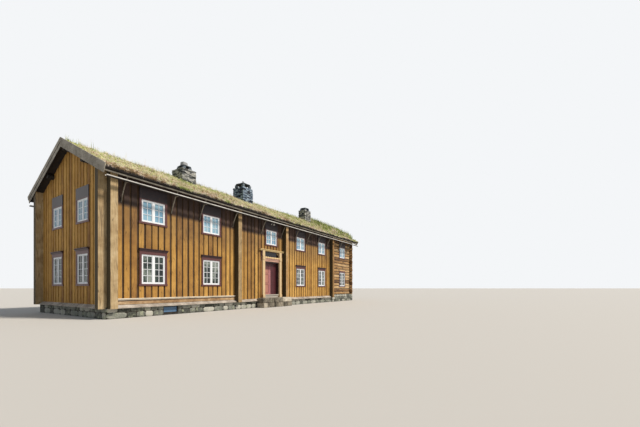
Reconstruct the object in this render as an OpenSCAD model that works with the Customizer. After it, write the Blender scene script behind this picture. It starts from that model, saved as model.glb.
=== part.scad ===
// Long two-storey farmhouse of logs with a turf roof.
// X runs along the house, the front faces -Y, Z is up, in millimetres.
// The origin is on the ground at the middle of the plan.

/* [Plan] */
// Length of the left room, from the left corner to the first case
left_room_len = 6480; // [5400:20:7800]
// Length of the entrance hall, between the first two cases
hall_len = 4285; // [3550:5:5150]
// Length of the right room, between the second and third case
right_room_len = 6505; // [5400:5:7850]
// Length of the bay of bare logs at the right end
log_bay_len = 4030; // [3350:10:4850]
// Depth of the house between the log faces of its long walls
house_dep = 6600; // [5500:50:7950]
// Thickness of the log walls at the belly of a log
wall_t = 160; // [130:5:200]
// Thickness of battens and boards outside the logs
clad_t = 60; // [45:5:80]

/* [Levels] */
// Height of the stone foundation
foundation_h = 450; // [370:10:540]
// How much higher the stone plinth below the bare logs is
plinth_rise = 170; // [100:10:220]
// Top of the ground floor boards above the ground
floor_z = 750; // [700:10:900]
// Height of the lower storey, floor to floor
storey_h = 2300; // [2200:20:2760]
// Height from the upper floor to the roof boards at the outer wall face
upper_wall_h = 2735; // [2300:20:3300]
// Thickness of the upper floor
upper_floor_t = 220; // [180:10:270]

/* [Foundation] */
// Thickness of the foundation walls
foundation_t = 500; // [420:10:600]
// How far the foundation stands out from the logs
foundation_out = 100; // [80:5:110]
// How far the plinth below the bare logs stands out from them
plinth_out = 160; // [130:5:190]
// Width of the cellar hatch
hatch_w = 660; // [550:10:790]
// Height of the cellar hatch
hatch_h = 230; // [190:10:270]
// Underside of the cellar hatch above the ground
hatch_z = 120; // [100:10:150]
// Distance from the left corner to the middle of the cellar hatch
hatch_from_corner = 2510; // [2100:10:3000]
// Depth of the recess in front of the cellar hatch
hatch_recess = 60; // [40:5:80]
// Thickness of the cellar hatch
hatch_t = 40; // [30:5:50]

/* [Logs] */
// Height of one course of logs
log_pitch = 258; // [220:2:310]
// How far the belly of a log stands out from its joints
log_bulge = 28; // [20:1:34]
// How far the log ends stand out past a corner
log_end = 240; // [200:10:290]
// How much the log ends differ in length
log_end_play = 30; // [0:5:36]

/* [Sill boards and cases] */
// Underside of the cladding above the foundation
clad_rise = 90; // [80:5:105]
// Height of the water board's outer edge
water_board_t = 30; // [25:1:36]
// How far the sloping water board stands out from the logs
water_board_out = 230; // [195:5:275]
// Underside of the water board's outer edge above the ground
water_board_foot = 400; // [370:5:430]
// Height of the plain sill board on the left room
sill_board_h = 220; // [190:5:230]
// How far the plain sill board stands out from the cladding
sill_board_out = 35; // [28:1:44]
// Thickness of the ledge on the plain sill board
ledge_t = 25; // [20:1:30]
// How far that ledge stands out from the cladding
ledge_out = 60; // [50:1:72]
// Width of a case over the log ends
case_w = 260; // [220:10:310]
// How far a case stands out from the cladding
case_out = 300; // [260:10:340]
// Foot of a case above the ground
case_foot = 400; // [340:10:440]

/* [Windows] */
// Width of a window
win_w = 1020; // [850:10:1220]
// Height of a lower window
lower_win_h = 1250; // [1050:10:1350]
// Sill of a lower window above its floor
lower_sill = 620; // [520:10:640]
// Height of an upper window
upper_win_h = 930; // [780:10:1110]
// Sill of an upper window above its floor
upper_sill = 940; // [920:10:1100]
// Distance between the two windows of a room
pair_gap = 3020; // [2550:20:3400]
// How far the left room's pair of windows sits from the middle of the room, to the right
left_pair_shift = 15; // [-60:5:90]
// How far the right room's pair of windows sits from the middle of the room, to the right
right_pair_shift = 240; // [180:10:300]
// How far the log bay's windows sit from the middle of the bay, to the right
log_window_shift = 290; // [200:10:350]
// Distance between the two windows of a gable storey
gable_pair_gap = 2600; // [2200:20:3100]
// Width of a window frame's face
frame_w = 45; // [35:5:55]
// Depth of a window frame
frame_dep = 100; // [85:5:120]
// Width of the post in the middle of a window
mullion_w = 75; // [65:5:90]
// How far a frame stands proud of the wall face
frame_proud = 5; // [0:1:10]
// Thickness of a glass pane
pane_t = 6; // [4:1:8]
// Depth of the glass behind the front of the frame
pane_set = 45; // [38:1:52]

/* [Casings] */
// Width of a window casing
casing_w = 90; // [75:5:108]
// Thickness of a window casing
casing_t = 30; // [25:1:36]
// Height of the board under a window
apron_h = 80; // [65:5:95]
// How far the board under a window reaches past the casing at each side
apron_ear = 25; // [20:1:30]
// Height of the board over a lower window
lower_head_h = 150; // [125:5:180]
// Height of the panel over an upper window
head_panel_h = 500; // [420:10:600]
// Height of the cornice over a lower window
cornice_h = 110; // [90:5:130]
// How far a cornice stands out from the casing
cornice_out = 80; // [67:1:96]
// How far a cornice reaches past the casing at each side
cornice_ear = 25; // [20:1:30]

/* [Door] */
// Distance from the middle of the door to the second case
door_to_case = 1295; // [1280:5:1450]
// Width of the doorway in the wall
door_w = 1470; // [1300:10:1560]
// Height of a door leaf
leaf_h = 2030; // [1690:10:2050]
// Thickness of a door leaf
leaf_t = 45; // [38:1:54]
// Clearance round a door leaf
leaf_gap = 5; // [5:1:7]
// Gap between the two leaves
meeting_gap = 9; // [8:1:11]
// Width of a door jamb
jamb_w = 60; // [50:5:70]
// Depth of the stop that a leaf closes against
stop_w = 15; // [12:1:18]
// How far the leaves sit outside the inner face of the wall
leaf_inset = 5; // [3:1:20]
// Height of the threshold
threshold_h = 30; // [25:1:36]
// How far the threshold stands out from the cladding
threshold_out = 40; // [32:1:48]
// Width of the frame of a door leaf round its panels
leaf_rail_w = 105; // [88:1:126]
// Number of panels in a door leaf
leaf_panels = 3; // [2:1:4]
// Width of the groove round a raised panel
groove_w = 50; // [42:1:60]
// Depth of the groove round a raised panel
groove_t = 11; // [8:1:14]
// Height of the bar over the leaves
door_bar_h = 70; // [60:5:80]
// Height of the ornamented frieze board
frieze_h = 300; // [250:10:320]
// Thickness of the frieze board
frieze_t = 70; // [58:1:84]
// Height of the glazed light over the frieze
light_h = 300; // [250:10:320]
// Width of a pilaster
pilaster_w = 210; // [175:5:225]
// Depth of a pilaster
pilaster_t = 110; // [92:1:130]
// How far a pilaster covers the door frame
pilaster_lap = 20; // [10:1:30]
// Height of a pilaster's base
base_h = 180; // [150:5:215]
// Height of a pilaster's capital
capital_h = 230; // [190:5:275]
// Underside of the capital above the underside of the frieze
capital_rise = 90; // [75:5:108]
// How far base and capital stand out from a pilaster
capital_out = 25; // [20:1:30]
// Width of a console beside a pilaster, and of the flat board below it
console_w = 90; // [75:1:108]
// Thickness of the flat board beside a pilaster
side_board_t = 35; // [29:1:42]
// How far a console stands out under the cornice
console_out = 130; // [108:1:140]
// Height of the cornice over the door
canopy_h = 120; // [100:5:145]
// How far the cornice over the door stands out
canopy_out = 160; // [145:5:190]
// How far that cornice reaches past a pilaster
canopy_ear = 210; // [175:5:225]
// Width of the upper stone step
upper_step_w = 2180; // [1820:20:2300]
// Width of the lower stone step
lower_step_w = 2900; // [2450:50:3300]
// Depth of a stone step's tread
tread = 310; // [255:5:315]
// Rise of a stone step
step_rise = 300; // [250:5:350]

/* [Roof] */
// Pitch of the roof in degrees
roof_pitch = 26; // [22:0.5:30]
// How far the roof boards reach past the long walls
eave_out = 600; // [500:10:700]
// How far the roof reaches past the gables
verge_out = 400; // [370:10:480]
// Thickness of the roof boards
deck_t = 50; // [42:1:60]
// Thickness of the turf
turf_t = 200; // [165:5:240]
// Radius of the log that holds the turf at the eave
turf_log_r = 80; // [66:1:95]
// Radius of the purlins
purlin_r = 110; // [92:1:132]
// Distance of a side purlin from the ridge, in plan
purlin_y = 1800; // [1650:10:2150]
// How far the purlins stop short of the verge boards
purlin_short = 60; // [40:5:80]
// Thickness of an upper verge board
verge_t = 40; // [34:1:48]
// Top of the lower verge board above the underside of the roof boards
verge_split = 90; // [75:1:108]
// How far the lower verge board sits behind the upper one
verge_step = 15; // [10:1:20]
// How far the verge boards reach above the turf
verge_lip = 30; // [20:1:40]
// How far the verge boards reach below the roof boards
verge_drop = 90; // [75:5:110]

/* [Gutter] */
// Outer radius of the hollowed gutter
gutter_r = 70; // [58:1:84]
// Wall thickness of the gutter
gutter_t = 16; // [13:1:19]
// Rim of the gutter below the roof boards
gutter_drop = 150; // [130:5:180]
// Middle of the gutter past the end of the roof boards
gutter_out = 50; // [40:1:60]
// How much shorter than the roof the gutter is at each end
gutter_short = 60; // [40:5:80]
// Radius of a bracket's curve
bracket_r = 2200; // [1850:50:2650]
// Height of a bracket's foot below the gutter
bracket_drop = 750; // [630:10:900]
// How far a bracket's head stays back from the end of the roof boards
bracket_head = 40; // [30:5:50]
// Width of a bracket's bar
bracket_w = 40; // [34:1:48]
// Distance of the first bracket from the left corner
bracket_corner = 450; // [380:10:540]
// Distance of a bracket from the middle of the window on its right
bracket_before = 700; // [660:10:840]
// Distance of a bracket from the middle of the window on its left
bracket_after = 820; // [700:10:980]
// Distance of a bracket from the case on its right
bracket_case = 290; // [240:10:350]
// Distance of the hall's left bracket from the middle of the door
bracket_hall = 940; // [790:10:1120]

/* [Chimneys] */
// Widths of the three chimneys along the ridge
chimney_widths = [840, 890, 880]; // [700:10:1070]
// Depths of the three chimneys
chimney_deps = [920, 940, 680]; // [570:10:1080]
// Distance of the chimneys' front faces from the ridge
chimney_set = 1140; // [1100:10:1360]
// Width of the flue
flue_w = 320; // [270:10:360]
// Left chimney, from the first case towards the left
left_chimney_from_case = 1440; // [1200:10:1720]
// Middle chimney, from the second case towards the left
middle_chimney_from_case = 1170; // [980:10:1400]
// Right chimney, from the third case towards the left
right_chimney_from_case = 240; // [200:10:290]
// Tops of the three chimneys above the ridge of the turf
chimney_rises = [210, 450, 500]; // [170:10:600]
// Heights of the corner stones on the three chimneys
post_heights = [170, 220, 160]; // [130:10:260]
// Side of a corner stone
post_w = 150; // [125:5:180]
// Thickness of a cap slab
cap_t = 80; // [65:5:95]
// Widths of the cap slabs on the three chimneys
cap_widths = [560, 800, 660]; // [550:10:960]
// Depths of the cap slabs on the three chimneys
cap_deps = [660, 840, 620]; // [600:10:1000]
// How far the corner stones sit inside the cap slab
post_inset = 20; // [10:5:30]
// Width of the stone on the left cap slab
left_stone_w = 360; // [300:10:430]
// Thickness of the stone on the left cap slab
left_stone_t = 300; // [250:10:360]
// Height of the stone on the left cap slab
left_stone_h = 230; // [190:10:280]
// Width of that stone at its top
left_stone_head = 240; // [200:10:290]
// How far the top of that stone leans to the right
left_stone_lean = 25; // [20:1:30]
// Width of the slender stone on the middle cap slab
middle_stone_w = 110; // [90:5:130]
// Thickness of the slender stone on the middle cap slab
middle_stone_t = 90; // [75:5:108]
// Height of the slender stone on the middle cap slab
middle_stone_h = 250; // [210:10:300]
// Width of the slender stone at its top
middle_stone_head = 60; // [50:5:72]
// How far the top of the slender stone leans to the right
middle_stone_lean = 70; // [60:5:84]

/* [Lamp] */
// Length of the lamp's arm
lamp_arm = 200; // [170:5:230]
// Radius of the lamp's arm
lamp_arm_r = 9; // [7:1:11]
// Radius of the lamp's wall plate
lamp_plate_r = 35; // [30:1:42]
// Thickness of the lamp's wall plate
lamp_plate_t = 12; // [10:1:14]
// Radius of the lamp's shade
lamp_r = 60; // [50:1:70]
// Radius of the shade at its top
lamp_neck_r = 25; // [21:1:30]
// Height of the shade
lamp_shade_h = 90; // [75:1:108]
// Wall thickness of the shade
lamp_shade_t = 6; // [5:1:7]
// Height of the lamp above the window over the door
lamp_rise = 430; // [370:10:470]

/* [Hidden] */

arc_fn = 64;
long_arc_fn = 256;
seat = 0.3;
case_gap = 10;
// Longer than any part of the house, for shapes that are cut to length
wide = 40000;
// Angle from one course to the next in the pattern of the log ends' lengths
play_turn = 137;
// How far a slope is drawn past the ridge before it is cut there
ridge_lap = 400;
// Shares of a moulding's height taken by its cove, its foot and its edge
cove_share = 0.45;
foot_share = 0.2;
edge_share = 0.65;

house_len = left_room_len + hall_len + right_room_len + log_bay_len;
left_x = -house_len / 2;
right_x = house_len / 2;
case_1_x = left_x + left_room_len;
case_2_x = case_1_x + hall_len;
case_3_x = case_2_x + right_room_len;
door_x = case_2_x - door_to_case;
half_dep = house_dep / 2;
front_y = -half_dep;

upper_floor_z = floor_z + storey_h;
wall_top_z = upper_floor_z + upper_wall_h;
ridge_z = wall_top_z + half_dep * tan(roof_pitch);
turf_ridge_z = ridge_z + (deck_t + turf_t) / cos(roof_pitch);
slope_len = (half_dep + eave_out) / cos(roof_pitch);
verge_x = right_x + verge_out;
deck_x = verge_x - verge_t;
function roof_z(y) = ridge_z - abs(y) * tan(roof_pitch);

clad_z = foundation_h + clad_rise;
left_clad_z = clad_z + sill_board_h + ledge_t;
corner_case_x = left_x - clad_t + case_w / 2;
// The stretches of wall between the cases
left_run = [corner_case_x + case_w / 2, case_1_x - case_w / 2];
hall_run = [case_1_x + case_w / 2, case_2_x - case_w / 2];
right_run = [case_2_x + case_w / 2, case_3_x - case_w / 2];

left_pair_x = (left_x + case_1_x) / 2 + left_pair_shift;
right_pair_x = (case_2_x + case_3_x) / 2 + right_pair_shift;
log_window_x = (case_3_x + right_x) / 2 + log_window_shift;
clad_window_xs = [
    left_pair_x - pair_gap / 2, left_pair_x + pair_gap / 2,
    right_pair_x - pair_gap / 2, right_pair_x + pair_gap / 2
];
lower_z = floor_z + lower_sill;
upper_z = upper_floor_z + upper_sill;
gable_window_xs = [-gable_pair_gap / 2, gable_pair_gap / 2];
hatch_x = left_x + hatch_from_corner;
hatch_back = hatch_recess + hatch_t - foundation_out;
foundation_in = foundation_t - foundation_out;

log_base_z = foundation_h + plinth_rise;
log_arc_r = (pow(log_pitch / 2, 2) + pow(log_bulge, 2)) / (2 * log_bulge);
lap_h = log_pitch / 2;
course_n = ceil((wall_top_z - log_base_z) / log_pitch) + 1;
gable_course_n = ceil((ridge_z - log_base_z) / log_pitch) + 1;
function end_play(k) = log_end_play * (1 + sin(k * play_turn)) / 2;

inner_jamb_x = door_w / 2 - jamb_w;
leaf_zone_x = inner_jamb_x + stop_w;
leaf_w = leaf_zone_x - leaf_gap - meeting_gap / 2;
leaf_y = wall_t - leaf_inset - leaf_t;
leaf_z = floor_z + threshold_h + leaf_gap;
bar_z = leaf_z + leaf_h + leaf_gap;
frieze_z = bar_z + door_bar_h;
light_z = frieze_z + frieze_h;
door_top_z = light_z + light_h + jamb_w;
pilaster_x = door_w / 2 - pilaster_lap;
pilaster_foot_z = 2 * step_rise + seat;
console_x = pilaster_x + pilaster_w;
console_h = door_top_z - frieze_z;
console_r = (pow(console_out, 2) + pow(console_h, 2)) / (2 * console_out);

chimney_xs = [
    case_1_x - left_chimney_from_case,
    case_2_x - middle_chimney_from_case,
    case_3_x - right_chimney_from_case
];
chimney_ys = [for (depth = chimney_deps) depth / 2 - chimney_set];
chimney_tops = [for (rise = chimney_rises) turf_ridge_z + rise];

gutter_y = half_dep + eave_out + gutter_out;
gutter_z = roof_z(half_dep + eave_out) - gutter_drop;
bracket_xs = concat(
    [left_x + bracket_corner, clad_window_xs[0] + bracket_after],
    [clad_window_xs[1] - bracket_before, case_1_x - bracket_case],
    [door_x - bracket_hall, case_2_x - bracket_case],
    [clad_window_xs[2] - bracket_before, clad_window_xs[2] + bracket_after],
    [clad_window_xs[3] - bracket_before, clad_window_xs[3] + bracket_after]
);
log_bracket_xs = [log_window_x - bracket_before, log_window_x + bracket_after];
bracket_foot_z = gutter_z - bracket_drop;
// On bare logs a bracket stands on the belly of the log at that height
foot_course = floor((bracket_foot_z - log_base_z) / log_pitch);
log_foot_z = log_base_z + (foot_course + 0.5) * log_pitch - bracket_w / 2;

// Places what is drawn against the plane y = 0, facing -Y, on a side of the house
module on_front() { translate([0, front_y, 0]) children(); }
module on_back() { rotate([0, 0, 180]) translate([0, front_y, 0]) children(); }
module on_left() { translate([left_x, 0, 0]) rotate([0, 0, -90]) children(); }
module on_right() { translate([right_x, 0, 0]) rotate([0, 0, 90]) children(); }

// The space below the roof boards
module under_roof(reach = eave_out) {
    y_end = half_dep + reach;
    rotate([90, 0, 90])
        linear_extrude(wide, center = true)
            polygon([[-y_end, 0], [-y_end, roof_z(y_end)], [0, ridge_z], [y_end, roof_z(y_end)], [y_end, 0]]);
}

// A box given by its lowest and highest corners
module block(low, high) { translate(low) cube(high - low); }

// The three chimneys' outlines with a clearance round them
module chimney_shafts(gap, bottom, top) {
    for (i = [0 : 2]) {
        half = [chimney_widths[i] / 2 + gap, chimney_deps[i] / 2 + gap];
        block([chimney_xs[i] - half[0], chimney_ys[i] - half[1], bottom],
              [chimney_xs[i] + half[0], chimney_ys[i] + half[1], top]);
    }
}

// Foundation

// One long side with the plinth under the bare logs at its right end
module foundation_run() {
    plinth_x = case_3_x + case_w / 2;
    corner_x = right_x + plinth_out;
    block([left_x - foundation_out, -foundation_out, 0], [corner_x, foundation_in, foundation_h]);
    block([plinth_x, -plinth_out, 0], [corner_x, 0, log_base_z]);
    block([case_3_x, 0, 0], [corner_x, wall_t, log_base_z]);
    block([right_x - wall_t, 0, 0], [corner_x, foundation_in, log_base_z]);
}

module front_foundation() {
    color("#8f8d86") on_front() difference() {
        foundation_run();
        block([hatch_x - hatch_w / 2, -foundation_out - 1, hatch_z],
              [hatch_x + hatch_w / 2, hatch_back, hatch_z + hatch_h]);
    }
}

module back_foundation() {
    color("#8f8d86") mirror([0, 1, 0]) on_front() foundation_run();
}

module left_foundation() {
    side = half_dep - foundation_in;
    color("#8f8d86") block([left_x - foundation_out, -side, 0], [left_x + foundation_in, side, foundation_h]);
}

module right_foundation() {
    side = half_dep - foundation_in;
    color("#8f8d86") {
        block([right_x - foundation_in, -side, 0], [right_x + plinth_out, side, foundation_h]);
        block([right_x - wall_t, -side, 0], [right_x + plinth_out, side, log_base_z]);
    }
}

module cellar_hatch() {
    color("#4d6f96") on_front()
        block([hatch_x - hatch_w / 2, hatch_back - hatch_t, hatch_z],
              [hatch_x + hatch_w / 2, hatch_back, hatch_z + hatch_h]);
}

module door_steps() {
    color("#8b8780") on_front() {
        block([door_x - upper_step_w / 2, -foundation_out - tread, 0],
              [door_x + upper_step_w / 2, -foundation_out, 2 * step_rise]);
        block([door_x - lower_step_w / 2, -foundation_out - 2 * tread, 0],
              [door_x + lower_step_w / 2, -foundation_out - tread, step_rise]);
    }
}

// Floors

module floor_slab(bottom, top) {
    difference() {
        block([left_x + wall_t, front_y + wall_t, bottom], [right_x - wall_t, half_dep - wall_t, top]);
        chimney_shafts(seat, bottom - 1, top + 1);
    }
}

module ground_floor() { color("#9a7a52") floor_slab(foundation_h, floor_z); }
module upper_floor() { color("#9a7a52") floor_slab(upper_floor_z - upper_floor_t, upper_floor_z); }

// Timber walls behind the cladding

module window_hole(x, z, h) { block([x - win_w / 2, -wall_t, z], [x + win_w / 2, 2 * wall_t, z + h]); }

module window_holes(xs) {
    for (x = xs) {
        window_hole(x, lower_z, lower_win_h);
        window_hole(x, upper_z, upper_win_h);
    }
}

module timber_wall(from, to, base) {
    intersection() {
        translate([0, front_y, 0]) block([from, 0, base], [to, wall_t, ridge_z]);
        under_roof();
    }
}

module front_wall_left() {
    color("#6f4e2e") difference() {
        timber_wall(left_x, door_x - door_w / 2, foundation_h);
        on_front() window_holes([clad_window_xs[0], clad_window_xs[1]]);
    }
}

module front_wall_over_door() {
    color("#6f4e2e") difference() {
        timber_wall(door_x - door_w / 2, door_x + door_w / 2, door_top_z);
        on_front() window_hole(door_x, upper_z, upper_win_h);
    }
}

module front_wall_right() {
    color("#6f4e2e") difference() {
        timber_wall(door_x + door_w / 2, case_3_x, foundation_h);
        on_front() window_holes([clad_window_xs[2], clad_window_xs[3]]);
    }
}

module back_wall() {
    color("#6f4e2e") mirror([0, 1, 0]) difference() {
        timber_wall(left_x, case_3_x, foundation_h);
        on_front() window_holes(concat(clad_window_xs, [door_x]));
    }
}

// Notches in a gable wall for the purlins, open upwards
module purlin_notches() {
    for (y = [-purlin_y, 0, purlin_y])
        translate([0, y, purlin_z(y)]) {
            rotate([0, 90, 0]) cylinder(r = purlin_r + seat, h = wide, center = true, $fn = arc_fn);
            block([-wide / 2, -purlin_r - seat, 0], [wide / 2, purlin_r + seat, wide / 2]);
        }
}

module left_gable_wall() {
    color("#6f4e2e") difference() {
        intersection() {
            block([left_x, front_y + wall_t, foundation_h], [left_x + wall_t, half_dep - wall_t, ridge_z]);
            under_roof();
        }
        on_left() window_holes(gable_window_xs);
        purlin_notches();
    }
}

// Bare log walls

module log_course(len) {
    intersection() {
        cube([len, wall_t, log_pitch]);
        translate([0, log_arc_r, log_pitch / 2])
            rotate([0, 90, 0]) cylinder(r = log_arc_r, h = len, $fn = arc_fn);
        translate([0, wall_t - log_arc_r, log_pitch / 2])
            rotate([0, 90, 0]) cylinder(r = log_arc_r, h = len, $fn = arc_fn);
    }
}

// Places a half-lap at a corner in each course: the long wall keeps the middle half of its logs,
// and the gable keeps the half between them
module long_wall_laps() {
    for (k = [0 : course_n])
        translate([0, 0, log_base_z + k * log_pitch + lap_h / 2]) children();
}
module gable_laps() {
    for (k = [-1 : course_n])
        translate([0, 0, log_base_z + k * log_pitch + lap_h * 3 / 2]) children();
}

module log_bay_wall() {
    difference() {
        intersection() {
            translate([case_3_x, front_y, log_base_z])
                for (k = [0 : course_n - 1])
                    translate([0, 0, k * log_pitch]) log_course(log_bay_len + log_end + end_play(k));
            under_roof();
        }
        gable_laps()
            block([right_x - wall_t, front_y - 1, 0], [right_x, front_y + wall_t + 1, lap_h]);
        on_front() window_holes([log_window_x]);
    }
}

module log_bay_front() { color("#8a5f38") log_bay_wall(); }
module log_bay_back() { color("#8a5f38") mirror([0, 1, 0]) log_bay_wall(); }

module right_gable_wall() {
    color("#8a5f38") difference() {
        intersection() {
            for (k = [-1 : gable_course_n - 1]) {
                reach = half_dep + log_end + end_play(k + 3);
                translate([right_x, -reach, log_base_z + (k + 0.5) * log_pitch])
                    rotate([0, 0, 90]) log_course(2 * reach);
            }
            under_roof();
            block([-wide, -wide, log_base_z], [wide, wide, wide]);
        }
        for (side = [-1, 1])
            scale([1, side, 1])
                long_wall_laps()
                    block([right_x - wall_t - 1, front_y, 0], [right_x + 1, front_y + wall_t, lap_h]);
        on_right() window_holes(gable_window_xs);
        purlin_notches();
    }
}

// Cladding, sill boards and cases

module cladding_run(from, to, base) {
    intersection() {
        block([from, front_y - clad_t, base], [to, front_y, ridge_z]);
        under_roof();
    }
}

module front_cladding() {
    difference() {
        union() {
            cladding_run(left_x - clad_t, left_run[0], clad_z);
            cladding_run(left_run[0], left_run[1], left_clad_z);
            cladding_run(left_run[1], case_3_x + case_w / 2, clad_z);
        }
        on_front() {
            window_holes(clad_window_xs);
            window_hole(door_x, upper_z, upper_win_h);
            block([door_x - door_w / 2, -wall_t, 0], [door_x + door_w / 2, wall_t, door_top_z]);
        }
    }
}

module back_cladding() {
    mirror([0, 1, 0]) difference() {
        cladding_run(left_x - clad_t, case_3_x + case_w / 2, clad_z);
        on_front() window_holes(concat(clad_window_xs, [door_x]));
    }
}

module gable_cladding() {
    difference() {
        intersection() {
            block([left_x - clad_t, front_y, clad_z], [left_x, half_dep, ridge_z]);
            under_roof();
        }
        on_left() window_holes(gable_window_xs);
        purlin_notches();
    }
}

module board_cladding() {
    color("#b0803f") {
        front_cladding();
        back_cladding();
        gable_cladding();
    }
}

// An outline drawn with -x outwards and y upwards, run along a wall against the plane y = 0
module along_wall(run) {
    translate([run[0], 0, 0]) rotate([90, 0, 90]) linear_extrude(run[1] - run[0]) children();
}

// A board on the foundation that slopes outwards over its edge
module water_board(run) {
    along_wall(run) polygon([
        [0, foundation_h + seat], [-foundation_out, foundation_h + seat],
        [-water_board_out, water_board_foot], [-water_board_out, water_board_foot + water_board_t],
        [-clad_t, clad_z - seat], [0, clad_z - seat]
    ]);
}

// A plain board with a ledge on it that carries the cladding
module sill_board(run) {
    board_top = clad_z + sill_board_h;
    along_wall(run) polygon([
        [0, clad_z], [-clad_t - sill_board_out, clad_z], [-clad_t - sill_board_out, board_top],
        [-clad_t - ledge_out, board_top], [-clad_t - ledge_out, left_clad_z], [0, left_clad_z]
    ]);
}

module sill_boards() {
    door_reach = max(console_x + console_w, upper_step_w / 2) + seat;
    gable_half = half_dep + clad_t - case_w;
    color("#c2b594") {
        on_front() {
            sill_board(left_run);
            water_board(left_run);
            water_board([hall_run[0], door_x - door_reach]);
            water_board([door_x + door_reach, hall_run[1]]);
            water_board(right_run);
        }
        mirror([0, 1, 0]) on_front() for (run = [left_run, hall_run, right_run]) water_board(run);
        on_left() water_board([-gable_half, gable_half]);
    }
}

// A case over log ends, cut round the top of the foundation
module case_box(x) {
    difference() {
        block([x - case_w / 2, -clad_t - case_out, case_foot], [x + case_w / 2, -clad_t, ridge_z]);
        block([x - case_w, -foundation_out - seat, 0], [x + case_w, 1, foundation_h + seat]);
    }
}

module corner_cases() {
    gable_case_out = min(case_out, verge_out - verge_t - clad_t - case_gap);
    color("#a5763a") intersection() {
        for (side = [-1, 1])
            scale([1, side, 1]) {
                on_front() for (x = [corner_case_x, case_1_x, case_2_x, case_3_x]) case_box(x);
                difference() {
                    block([left_x - clad_t - gable_case_out, front_y - clad_t, case_foot],
                          [left_x - clad_t, front_y - clad_t + case_w, ridge_z]);
                    block([left_x - foundation_out - seat, front_y - case_w, 0],
                          [left_x, front_y + case_w, foundation_h + seat]);
                }
            }
        under_roof();
    }
}

// Windows: each is drawn against the wall face y = 0

module casing(x, z, h, head) {
    half = win_w / 2 + casing_w;
    difference() {
        union() {
            block([x - half, -casing_t, z - apron_h], [x + half, 0, z + h + head]);
            block([x - half - apron_ear, -casing_t, z - apron_h], [x + half + apron_ear, 0, z]);
        }
        block([x - win_w / 2, -casing_t - 1, z], [x + win_w / 2, 1, z + h]);
    }
}

module casings(xs) {
    for (x = xs) {
        casing(x, lower_z, lower_win_h, lower_head_h);
        casing(x, upper_z, upper_win_h, head_panel_h);
    }
}

module cornice(x) {
    half = win_w / 2 + casing_w + cornice_ear;
    translate([0, 0, lower_z + lower_win_h + lower_head_h])
        along_wall([x - half, x + half]) cornice_outline(casing_t + cornice_out, cornice_h);
}

// Moulding with a foot, a cove under its outer edge and a sloped top
module cornice_outline(out, h) {
    cove = h * cove_share;
    foot = h * foot_share;
    difference() {
        polygon([
            [0, 0], [-out + cove, 0], [-out + cove, foot], [-out, foot + cove],
            [-out, foot + h * edge_share], [0, h]
        ]);
        translate([-out, foot]) circle(r = cove, $fn = arc_fn);
    }
}

module frame_of(x, z, h) {
    front = -frame_proud;
    back = frame_dep - frame_proud;
    difference() {
        block([x - win_w / 2, front, z], [x + win_w / 2, back, z + h]);
        block([x - win_w / 2 + frame_w, front - 1, z + frame_w],
              [x + win_w / 2 - frame_w, back + 1, z + h - frame_w]);
    }
    block([x - mullion_w / 2, front, z + frame_w], [x + mullion_w / 2, front + pane_set, z + h - frame_w]);
}

module pane_of(x, z, h) {
    front = pane_set - frame_proud;
    block([x - win_w / 2 + frame_w, front, z + frame_w],
          [x + win_w / 2 - frame_w, front + pane_t, z + h - frame_w]);
}

module frames(xs) {
    for (x = xs) {
        frame_of(x, lower_z, lower_win_h);
        frame_of(x, upper_z, upper_win_h);
    }
}

module panes(xs) {
    for (x = xs) {
        pane_of(x, lower_z, lower_win_h);
        pane_of(x, upper_z, upper_win_h);
    }
}

// The wall face of the cladding, for what is drawn against y = 0
module on_boards() { translate([0, -clad_t, 0]) children(); }

module window_casings() {
    color("#4a2029") {
        on_front() on_boards() {
            casings(clad_window_xs);
            casing(door_x, upper_z, upper_win_h, head_panel_h);
        }
        on_front() casings([log_window_x]);
        mirror([0, 1, 0]) on_front() on_boards() casings(concat(clad_window_xs, [door_x]));
        mirror([0, 1, 0]) on_front() casings([log_window_x]);
        on_left() on_boards() casings(gable_window_xs);
        on_right() casings(gable_window_xs);
    }
}

module window_cornices() {
    color("#3c1c22") {
        on_front() on_boards() for (x = clad_window_xs) cornice(x);
        mirror([0, 1, 0]) on_front() on_boards() for (x = concat(clad_window_xs, [door_x])) cornice(x);
        on_left() on_boards() for (x = gable_window_xs) cornice(x);
    }
}

module window_frames() {
    color("#eceae4") {
        on_front() on_boards() {
            frames(clad_window_xs);
            frame_of(door_x, upper_z, upper_win_h);
        }
        on_front() frames([log_window_x]);
        mirror([0, 1, 0]) on_front() on_boards() frames(concat(clad_window_xs, [door_x]));
        mirror([0, 1, 0]) on_front() frames([log_window_x]);
        on_left() on_boards() frames(gable_window_xs);
        on_right() frames(gable_window_xs);
    }
}

module window_panes() {
    color("#a9c4d2") {
        on_front() on_boards() {
            panes(clad_window_xs);
            pane_of(door_x, upper_z, upper_win_h);
            block([door_x - inner_jamb_x, pane_set, light_z],
                  [door_x + inner_jamb_x, pane_set + pane_t, light_z + light_h]);
        }
        on_front() panes([log_window_x]);
        mirror([0, 1, 0]) on_front() on_boards() panes(concat(clad_window_xs, [door_x]));
        mirror([0, 1, 0]) on_front() panes([log_window_x]);
        on_left() on_boards() panes(gable_window_xs);
        on_right() panes(gable_window_xs);
    }
}

// Door

module door_frame() {
    color("#b98a55") on_front() translate([door_x, 0, 0]) difference() {
        union() {
            block([-door_w / 2, -clad_t, foundation_h], [door_w / 2, wall_t, door_top_z]);
            block([-pilaster_x + seat, -clad_t - threshold_out, floor_z - threshold_h],
                  [pilaster_x - seat, -clad_t, floor_z + threshold_h]);
        }
        block([-inner_jamb_x, -clad_t - 1, floor_z + threshold_h], [inner_jamb_x, wall_t + 1, bar_z]);
        block([-leaf_zone_x, leaf_y - leaf_gap, floor_z + threshold_h],
              [leaf_zone_x, wall_t + 1, bar_z]);
        block([-inner_jamb_x, -clad_t - 1, light_z], [inner_jamb_x, wall_t + 1, light_z + light_h]);
    }
}

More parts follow.
